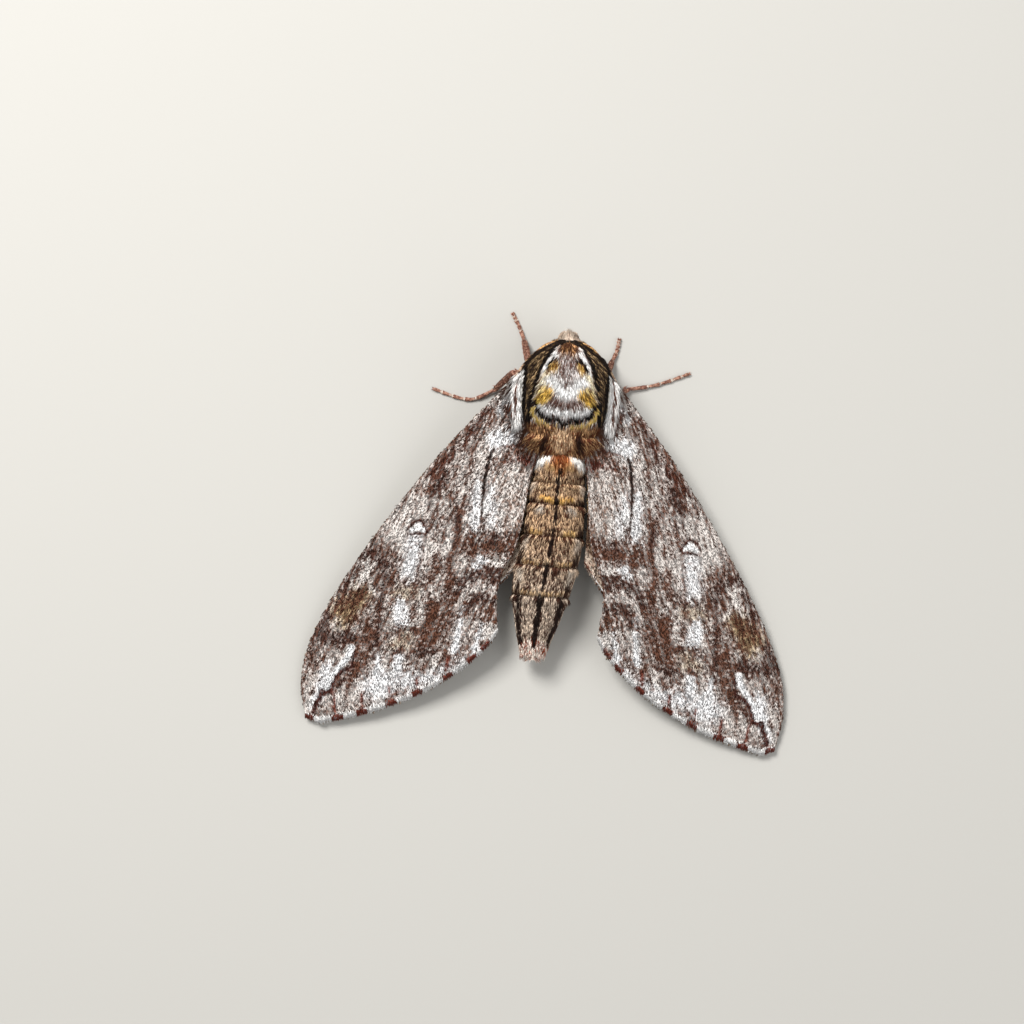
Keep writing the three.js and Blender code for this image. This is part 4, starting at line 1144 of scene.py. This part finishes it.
# Each mark of the forewing: its line, its half widths at the two ends, the softness of its edge and the
# share of pale scales in it, then its dark or pale colour where that differs from the wing's own.
FOREWING_MARKS = {
    "front edge": ([(7, 3.2), (11, -1.5), (15.5, -7.5), (19, -12.5)], (0.8, 1.0), 0.9, 0.36),
    "base": ([(5.8, 3.5), (6.2, -1.5)], (1.0, 1.9), 0.7, 0.5),
    "base ray": ([(5.6, 3.2), (7.4, 0.6)], (0.3, 0.35), 0.3, 0.9, None, WHITE),
    "front ray": ([(7.3, 2.4), (9.4, 0.3)], (0.3, 0.2), 0.25, 0.85),
    "base brown": ([(5.9, 3.0), (6.5, 0.6), (6.2, -1.0)], (0.25, 0.35), 0.3, 0.15, (92, 50, 34)),
    "basal patch": ([(5.9, -2.6), (7.5, -2.9)], (0.8, 0.9), 0.5, 0.95, None, WHITE),
    "hair at the inner root": ([(3.0, -1.5), (3.4, -3.6)], (1.2, 1.0), 0.7, 0.3, (112, 66, 38)),
    "second line": ([(3.0, -5.0), (4.8, -4.9), (6.2, -5.2)], (0.5, 0.2), 0.3, 0.2, RUST),
    "window": ([(6.9, -4.3), (8.6, -5.6), (8.9, -6.6)], (0.3, 0.4), 0.3, 0.85),
    "inner field": ([(5.2, -7.5), (5.6, -11.5)], (2.2, 2.2), 0.8, 0.6, (118, 90, 76)),
    "inner field's pale end": ([(7.7, -8.6), (7.3, -12.6)], (0.6, 0.6), 1.0, 0.85, None, WHITE),
    "field beyond the dagger": ([(8.9, -4.6), (9.8, -7.0)], (0.5, 0.4), 0.6, 0.72),
    "front shade": ([(8.7, 0.6), (10.0, -1.2), (11.0, -3.4), (12.9, -5.5), (15.0, -7.6)],
                    (0.3, 0.45), 0.4, 0.1, (76, 38, 24)),
    "front shade's foot": ([(13.2, -7.4), (14.0, -9.4), (14.6, -10.9)], (0.6, 0.55), 0.4, 0.08, DARK_BROWN),
    "cell brown": ([(9.8, -3.4), (11.0, -5.4), (12.0, -6.4)], (0.4, 0.35), 0.5, 0.4),
    "cell white": ([(11.0, -4.9), (11.5, -8.4)], (0.5, 0.7), 0.6, 0.75),
    "cell shade": ([(11.6, -8.9), (12.3, -9.8), (13.4, -10.4)], (0.35, 0.4), 0.4, 0.15),
    "pale column": ([(9.2, -8.2), (9.2, -13.0)], (0.6, 0.8), 0.7, 0.97, None, WHITE),
    "smudge": ([(11.35, -11.6), (11.3, -13.9)], (0.3, 0.4), 0.25, 0.12, DARK_BROWN),
    "streaks under the cell": ([(13.2, -10.8), (12.8, -15.6)], (1.0, 0.9), 0.7, 0.62),
    "pale disc": ([(15.9, -11.2), (17.6, -14.6)], (1.5, 1.9), 0.8, 0.76),
    "disc's front": ([(17.9, -11.4), (19.4, -14.8)], (0.45, 0.7), 0.5, 0.62),
    "middle band": ([(4.6, -15.4), (6.6, -15.1), (9.0, -15.6), (10.6, -15.5)], (0.75, 0.75), 0.6, 0.2),
    "middle band's edge": ([(3.9, -13.5), (6.0, -13.7), (7.6, -14.6), (10.2, -14.9)],
                           (0.25, 0.2), 0.2, 0.1, DARK_BROWN),
    "pale chip": ((8.6, -15.1), (0.35, 0.35), 0.3, 0.7),
    "bright column": ([(16.0, -15.0), (16.5, -18.8)], (0.9, 1.0), 0.8, 0.93, None, WHITE),
    "column's inner side": ([(14.4, -14.8), (14.6, -18.6)], (0.8, 0.6), 0.5, 0.7),
    "spot 1": ([(5.9, -16.9), (6.9, -16.9)], (0.5, 0.6), 0.35, 0.9),
    "spot 2": ([(8.0, -16.7), (8.6, -17.2)], (0.6, 0.6), 0.35, 0.95, None, WHITE),
    "spot 3": ([(10.2, -17.3), (10.9, -18.3)], (0.55, 0.5), 0.35, 0.8),
    "wave 1": ([(6.0, -18.4), (8.2, -18.2), (9.8, -19.0), (10.9, -20.6)], (0.65, 0.65), 0.4, 0.1, DARK_BROWN),
    "wave 2": ([(6.4, -21.4), (7.6, -21.0), (8.6, -21.4), (9.6, -22.6)], (0.5, 0.45), 0.35, 0.1, DARK_BROWN),
    "between the waves": ([(6.6, -19.9), (8.4, -19.9), (9.4, -20.8)], (0.35, 0.3), 0.3, 0.68),
    "wave 3": ([(6.0, -23.0), (7.8, -23.2)], (0.8, 0.7), 0.5, 0.2),
    "pale cell": ([(12.6, -19.6), (13.0, -21.7)], (0.5, 0.5), 0.35, 0.7),
    "brown column": ([(11.5, -17.6), (11.7, -20.4), (11.9, -24.4), (12.8, -26.8)], (0.5, 0.65), 0.45, 0.16),
    "brown column 2": ([(13.1, -16.6), (13.4, -19.0)], (0.5, 0.5), 0.45, 0.28),
    "brown column 3": ([(13.5, -22.3), (14.0, -25.2)], (0.75, 0.75), 0.45, 0.16),
    "wing's brown middle": ([(12.4, -25.6), (14.3, -27.2), (16.6, -27.9)], (1.0, 0.6), 0.6, 0.25),
    "front block": ([(19.9, -17.6), (21.4, -16.6), (22.2, -17.6)], (0.8, 0.7), 0.35, 0.05, DARK_BROWN),
    "front block's arm": ([(19.1, -18.2), (19.0, -19.8)], (0.55, 0.5), 0.35, 0.12, DARK_BROWN),
    "front block's tail": ([(21.9, -17.6), (23.9, -21.4)], (0.35, 0.45), 0.4, 0.2, DARK_BROWN),
    "beside the column": ([(18.8, -20.3), (19.0, -24.5)], (0.35, 0.5), 0.45, 0.36),
    "front ray 2": ([(21.2, -18.4), (21.9, -19.8), (22.5, -21.0)], (0.4, 0.3), 0.25, 0.9),
    "front ray 3": ([(20.8, -20.2), (20.35, -22.6)], (0.25, 0.2), 0.2, 0.7),
    "front ray 4": ([(23.2, -20.0), (24.2, -22.2)], (0.25, 0.2), 0.35, 0.4),
    "gold field": ([(21.9, -22.0), (23.6, -23.9)], (1.1, 1.5), 0.8, 0.22, (80, 46, 30), (226, 200, 156)),
    "wavy bar": ([(14.3, -19.2), (15.2, -20.6), (16.3, -20.2), (18.1, -20.3)],
                 (0.22, 0.2), 0.22, 0.14, DARK_BROWN),
    "under the bar": ([(15.7, -21.2), (17.6, -21.3)], (0.6, 0.6), 0.6, 0.5, BROWN, GOLD),
    "side streak": ([(14.5, -22.2), (15.1, -24.6)], (0.3, 0.35), 0.25, 0.82),
    "bright spot": ([(17.1, -23.0), (16.9, -24.4)], (0.85, 0.95), 0.4, 0.97, None, WHITE),
    "bright spot's arch": ([(15.5, -25.0), (16.3, -25.6), (17.9, -25.4)],
                           (0.25, 0.22), 0.22, 0.1, DARK_BROWN),
    "below the arch": ([(16.0, -26.5), (17.6, -27.2)], (0.7, 0.6), 0.6, 0.52, BROWN, GOLD),
    "long streak": ([(19.2, -19.6), (19.5, -24.0), (19.8, -28.4)], (0.22, 0.3), 0.2, 0.05, DARK_BROWN),
    "long streak's ray": ([(20.2, -21.2), (20.5, -24.4)], (0.22, 0.25), 0.2, 0.66),
    "outer brown": ([(20.4, -25.6), (21.2, -28.0), (21.4, -29.8)], (1.1, 0.85), 0.5, 0.15),
    "pale bridge": ([(21.6, -25.9), (24.0, -25.2)], (0.4, 0.45), 0.45, 0.52),
    "front patch": ([(22.8, -26.9), (25.0, -27.2), (26.5, -27.0)], (0.8, 1.1), 0.4, 0.1, DARK_BROWN),
    "front patch's edge": ([(25.4, -24.2), (26.9, -27.6)], (0.5, 0.5), 0.35, 0.16, DARK_BROWN),
    "tornus": ([(6.2, -24.7), (7.0, -25.1)], (0.55, 0.55), 0.35, 0.95),
    "inner wedge": ([(9.9, -22.0), (10.2, -23.4), (10.1, -25.0), (10.6, -27.2)],
                    (0.16, 0.5), 0.3, 0.94, None, WHITE),
    "pale streaks": ([(8.9, -24.3), (8.8, -25.6)], (0.7, 0.7), 0.6, 0.62),
    "inner streak": ([(7.6, -24.6), (7.9, -26.0), (8.3, -27.4)], (0.3, 0.4), 0.25, 0.97, None, WHITE),
    "margin 1": ([(9.4, -28.6), (12.2, -30.4), (15.0, -31.6)], (0.5, 0.9), 0.9, 0.76, None, WHITE),
    "margin 2": ([(15.5, -31.2), (19.3, -32.2)], (1.2, 1.7), 1.2, 0.88, None, WHITE),
    "margin 3": ([(22.0, -33.6), (24.6, -35.2)], (1.5, 0.9), 0.7, 0.74),
    "margin ray 1": ([(13.0, -27.2), (12.9, -29.5)], (0.2, 0.4), 0.3, 0.8),
    "margin ray 2": ([(17.0, -28.6), (16.9, -31.0)], (0.5, 0.6), 0.3, 0.97, None, WHITE),
    "margin ray 3": ([(19.3, -29.1), (19.3, -31.5)], (0.4, 0.6), 0.3, 0.97, None, WHITE),
    "margin spot 1": ([(13.2, -27.7), (14.9, -28.2)], (0.6, 0.5), 0.3, 0.12, DARK_BROWN),
    "margin spot 2": ([(15.7, -28.3), (17.4, -28.4)], (0.2, 0.2), 0.2, 0.15, DARK_BROWN),
    "apex": ([(25.8, -30.0), (26.4, -32.5), (26.9, -35.6)], (1.1, 0.7), 0.6, 0.66),
    "apex's pale core": ([(25.0, -30.4), (25.5, -31.8), (26.6, -35.4)], (0.6, 0.5), 0.4, 0.96, None, WHITE),
    "apex's brown": ([(25.4, -28.6), (26.6, -29.9)], (0.9, 0.6), 0.4, 0.3),
    "apical blotch": ([(22.8, -31.2), (23.6, -32.6)], (0.42, 0.36), 0.25, 0.06, DARK_BROWN),
}
# The crisp lines are laid over those, in the same way.
FOREWING_LINES = {
    "basal line": ([(3.0, -3.35), (4.6, -3.2), (6.0, -3.5), (7.0, -3.75)],
                   (0.2, 0.1), 0.2, 0.12, (90, 48, 34)),
    "dagger": ([(7.75, -4.0), (8.2, -5.6), (8.45, -7.6), (8.55, -10.0), (8.5, -12.4)],
               (0.15, 0.07), 0.1, 0.0, BLACK_BROWN),
    "dagger's shoulder": ([(7.95, -4.8), (8.3, -6.2), (8.5, -8.4)], (0.2, 0.19), 0.1, 0.0, BLACK_BROWN),
    "margin spot 3": ([(11.2, -28.3), (11.3, -29.7)], (0.16, 0.2), 0.15, 0.08, RUST),
    "wedge": ([(22.5, -28.0), (22.95, -29.4), (24.1, -30.9), (25.3, -32.9), (26.0, -34.4)],
              (0.36, 0.5), 0.2, 1.0, None, WHITE),
    "apical streak": ([(22.1, -28.6), (22.3, -30.3), (23.4, -30.8), (24.2, -31.7), (24.55, -33.2),
                       (25.2, -33.6),
                       (25.6, -33.3), (26.1, -35.0), (26.6, -36.2), (27.0, -36.9)], (0.18, 0.34), 0.12, 0.0,
                      (66, 28, 20)),
    "discal spot": ([(15.15, -13.75), (15.75, -13.6), (16.4, -13.85)],
                    (0.27, 0.24), 0.06, 1.0, WHITE, (252, 252, 252)),
    "discal dome": ([(15.55, -13.35), (15.95, -13.35)], (0.3, 0.28), 0.06, 1.0, WHITE, (252, 252, 252)),
    "discal arc": ([(14.6, -14.0), (14.95, -13.25), (15.7, -12.7), (16.4, -13.1), (16.95, -13.85)],
                   (0.19, 0.16), 0.08, 0.0,
                   (66, 32, 22)),
    "discal foot": ([(14.85, -14.25), (15.8, -14.2), (16.9, -14.4)], (0.15, 0.15), 0.08, 0.0, (66, 30, 20)),
    "vein 1": ([(14.6, -30.8), (14.7, -32.6)], (0.1, 0.16), 0.12, 0.05, RUST),
    "vein 2": ([(17.8, -32.3), (17.8, -34.2)], (0.09, 0.14), 0.12, 0.05, RUST),
    "vein 3": ([(21.0, -33.2), (20.8, -35.2)], (0.09, 0.14), 0.12, 0.05, RUST),
    "vein 4": ([(24.3, -33.0), (23.9, -36.2)], (0.1, 0.14), 0.12, 0.05, RUST),
}
FRINGE_BLOCKS = [(27.0, -36.9), (23.6, -36.5), (20.8, -35.5), (17.4, -34.3), (14.5, -32.8), (11.0, -30.6),
                 (8.5, -28.2), (7.0, -26.5)]
FRINGE_BLOCK_HALF = 0.72
UNDERSIDE = {"share": 0.4, "dark": (122, 100, 84), "pale": (196, 182, 166)}


def forewing_paint(x, y):
    """The upper side's paint at places of the plan."""
    wander = 0.32
    wx = x + wander * (grain(x, y, 0.9, 1) - 0.5) + 0.5 * (grain(x, y, 0.2, 2) - 0.5)
    wy = y + wander * 2.2 * (grain(x, y, 0.8, 3) - 0.5) + 1.2 * (grain(x, y, 0.24, 4) - 0.5)
    paint = Paint(wx, wy, 0.4, BROWN, PALE)
    for mark in FOREWING_MARKS.values():
        paint.add(*mark)
    across, down = x * 0.93 + y * 0.36, y * 0.93 - x * 0.36
    streaks = grain(across, down * 0.12, 0.22, 5) - 0.5
    paint.share = 0.03 + 0.87 * paint.share + streaks * 0.62 * (1 - np.abs(paint.share * 2 - 1) ** 3)
    paint.x, paint.y = x + 0.2 * (grain(x, y, 0.4, 7) - 0.5), y
    for line in FOREWING_LINES.values():
        paint.add(*line)
    return paint


def fringe_paint(paint, x, y, cover):
    """Turns the scales of the outer edge white, with a rust block at the end of each vein."""
    nearest = np.min([np.hypot(x - bx, y - by) for bx, by in FRINGE_BLOCKS], axis=0)
    block = nearest < FRINGE_BLOCK_HALF + 0.25 * (grain(x, y, 0.3, 6) - 0.5)
    paint.lay(cover * block, 0.0, RUST)
    paint.lay(cover * ~block, 1.0, None, FRINGE_WHITE)


def underside_paint(x, y):
    """The plainer lower side of a wing: soft brown-grey, paler towards the body, with two dim bands."""
    paint = Paint(x, y, **UNDERSIDE)
    paint.add([(4, -6), (7, -20)], (3.0, 3.0), 4.0, 0.65)
    for shift in (0.0, 4.0):
        paint.add([(8, -20 - shift), (16, -23 - shift), (24, -22 - shift)], (0.5, 0.4), 0.8, 0.2)
    return paint


for letter, side in SIDES.items():
    name = f"forewing_skin_{letter}"
    mesh, u, v, upper = membrane_mesh(name, FOREWING, side, 0, 190, 84, FOREWING_LIMITS)
    x, y = wing_plan(FOREWING, u, v).T
    above, below = forewing_paint(x, y), underside_paint(x, y)
    fringe_paint(above, x, y, np.clip((u - 0.974) / 0.004, 0, 1))
    pick = grain(x, y, 0.22, 11)
    paint_mesh(mesh, np.where(upper[:, None], above.colours(pick), below.colours(pick)))
    finished(mesh, name, membrane_finish, [f"forewing_{letter}"])

# ---------------------------------------------------------------- forewings: the scales
# The scales are flat blades a fraction of a millimetre long, set in the membrane like roof tiles, each of
# one plain colour. They lie towards the outer edge, get long and hair-like at the root, and longest of all
# in the fringe, which is white with a rust block at the end of each vein. Pale hair covers the wing's joint.

SCALES_ABOVE, FRINGE_SCALES, SCALES_BELOW = 43000, 4800, 12000
FRINGE_SIZE = (0.17, 0.03)  # the width and rise of its scales
FRINGE_SCALLOP, FRINGE_SCALLOPS = 0.1, 7.5

for letter, side in SIDES.items():
    random = np.random.default_rng(7 if side > 0 else 8)
    upper_side, lower_side = wing_face(FOREWING, 0, 1), wing_face(FOREWING, 0, -1)
    u, v, root, along, across, out = grown(random, upper_side, 1, SCALES_ABOVE, FOREWING_LIMITS, 0.2)
    hairy = np.clip((0.16 - u) / 0.1, 0, 1)
    length = random.uniform(0.4, 0.62, len(u)) * (1 + 1.4 * hairy)
    width = random.uniform(0.12, 0.165, len(u)) * (1 - 0.35 * hairy)
    rise = random.uniform(0.035, 0.085, len(u)) * (1 + 0.6 * hairy)
    x, y, _ = (root + along * (length * 0.7)[:, None]).T
    paint = forewing_paint(x, y)
    fringe_paint(paint, x, y, np.clip((u - 0.968) / 0.004, 0, 1))
    corners = [scale_corners(root - out * SCALE_SINK, along, across, out, length, width, rise)]
    colours = [paint.colours(speckle(x, y, random), soft=0.3)]
    places = [np.stack([u, v], axis=1)]

    v = random.uniform(0.0, 0.99, FRINGE_SCALES)
    u = random.uniform(0.976, 0.9905, FRINGE_SCALES)
    root, along, across, out = frame_on(upper_side, u, v)
    edge = wing_face(FOREWING, 0, 0)(np.ones(len(v)), v)
    beyond = np.linalg.norm(edge - root, axis=1)
    scallop = FRINGE_SCALLOP * np.cos(v * 2 * math.pi * FRINGE_SCALLOPS)
    length = np.clip(beyond * random.uniform(0.92, 1.06, len(v)) + scallop, 0.2, 1.3)
    along, across = turned(along, across, random.normal(0, 0.1, len(v)))
    depth = random.uniform(-0.16, 0.02, len(v))[:, None]
    x, y, _ = (root + along * length[:, None]).T
    fringe = Paint(x, y, 0.9, RUST, WHITE)
    fringe_paint(fringe, x, y, np.ones(len(v)))
    corners.append(scale_corners(root + out * depth, along, across, out, length, *FRINGE_SIZE))
    colours.append(fringe.colours(random.random(len(v)), uneven=0.08))
    places.append(np.stack([u, v], axis=1))
    scale_coat(f"forewing_scales_{letter}", corners, colours, places, side)

    u, v, root, along, across, out = grown(random, lower_side, -1, SCALES_BELOW, FOREWING_LIMITS, 0.15)
    corners = plain_scales(random, root, along, across, out, (0.4, 0.7), (0.18, 0.26), (0.02, 0.05))
    colours = underside_paint(root[:, 0], root[:, 1]).colours(random.random(len(u)))
    places = np.stack([u, v], axis=1)
    scale_coat(f"forewing_underside_scales_{letter}", [corners], [colours], [places], side)


def shoulder_surface(share, inward):
    """The root of the right forewing beside the thorax, from its front corner back."""
    x = 4.95 + (1.2 - 0.75 * share) * (1 - inward) * np.sqrt(share + 0.06) * 1.6
    y = 5.6 - 5.6 * share - 0.5 * (1 - inward)
    return np.stack([x, y, roof(x, y) + MEMBRANE], axis=-1)


def shoulder_paint(points):
    """White hair with two brown streaks."""
    paint = Paint(points[:, 0], points[:, 1], 0.93, (112, 76, 58), (250, 248, 246))
    paint.add([(5.5, 4.2), (5.75, 2.6), (5.6, 0.2)], (0.12, 0.2), 0.15, 0.2, (96, 54, 36))
    paint.add([(6.4, 1.2), (6.0, -0.8)], (0.3, 0.4), 0.4, 0.5, (96, 54, 36))
    return paint


for letter, side in SIDES.items():
    fur(f"shoulder_hair_{letter}", shoulder_surface, ((0.0, 1.0), (0.0, 1.0)), 900, 57 + side,
        shoulder_paint, length=(1.3, 2.2), thickness=(0.12, 0.19), lift=(0.06, 0.2), turn=0.14, side=side)

# ---------------------------------------------------------------- floor, light and camera
# The moth rests on a plain pale floor under a large soft lamp on its upper left, in an even grey room.
# The camera looks straight down.

FLOOR_COLOUR, ROOM_COLOUR, ROOM_LIGHT = (176, 175, 171), (1.0, 0.99, 0.975, 1), 0.5
VIEW_WIDTH, VIEW_DISTANCE, SENSOR_WIDTH = 0.1178, 0.275, 36  # the view's width is measured at the moth's back

bm = bmesh.new()
bmesh.ops.create_grid(bm, x_segments=1, y_segments=1, size=1.5)
floor_mesh = bpy.data.meshes.new("floor")
bm.to_mesh(floor_mesh)
bm.free()
floor_finish, _, _ = new_material("floor", 0.8, Base_Color=(*linear(FLOOR_COLOUR), 1))
floor_mesh.materials.append(floor_finish)
floor = bpy.data.objects.new("floor", floor_mesh)
scene = bpy.context.scene
scene.collection.objects.link(floor)

room = bpy.data.worlds.new("room")
room.use_nodes = True
room.node_tree.nodes["Background"].inputs["Color"].default_value = ROOM_COLOUR
room.node_tree.nodes["Background"].inputs["Strength"].default_value = ROOM_LIGHT
scene.world = room


def lamp(name, place, size, power, colour):
    """A square lamp of a size in metres, turned to the moth."""
    data = bpy.data.lights.new(name, "AREA")
    data.size, data.energy, data.color = size, power, colour
    light = bpy.data.objects.new(name, data)
    light.location = place
    light.rotation_euler = (-Vector(place)).to_track_quat("-Z", "Y").to_euler()
    scene.collection.objects.link(light)


lamp("key", (-0.17, 0.2, 0.32), 0.16, 2.4, (1.0, 0.98, 0.95))
lamp("fill", (0.3, -0.1, 0.3), 0.4, 0.7, (1.0, 0.99, 0.98))

camera = bpy.data.objects.new("camera", bpy.data.cameras.new("camera"))
camera.location = (-0.00508, 0.00129, 0.279)
camera.rotation_euler = (0, 0, math.radians(4.17))
camera.data.sensor_width = SENSOR_WIDTH
camera.data.lens = SENSOR_WIDTH * VIEW_DISTANCE / VIEW_WIDTH
camera.data.clip_start, camera.data.clip_end = 0.01, 10
scene.collection.objects.link(camera)
scene.camera = camera
scene.view_settings.view_transform = "Standard"
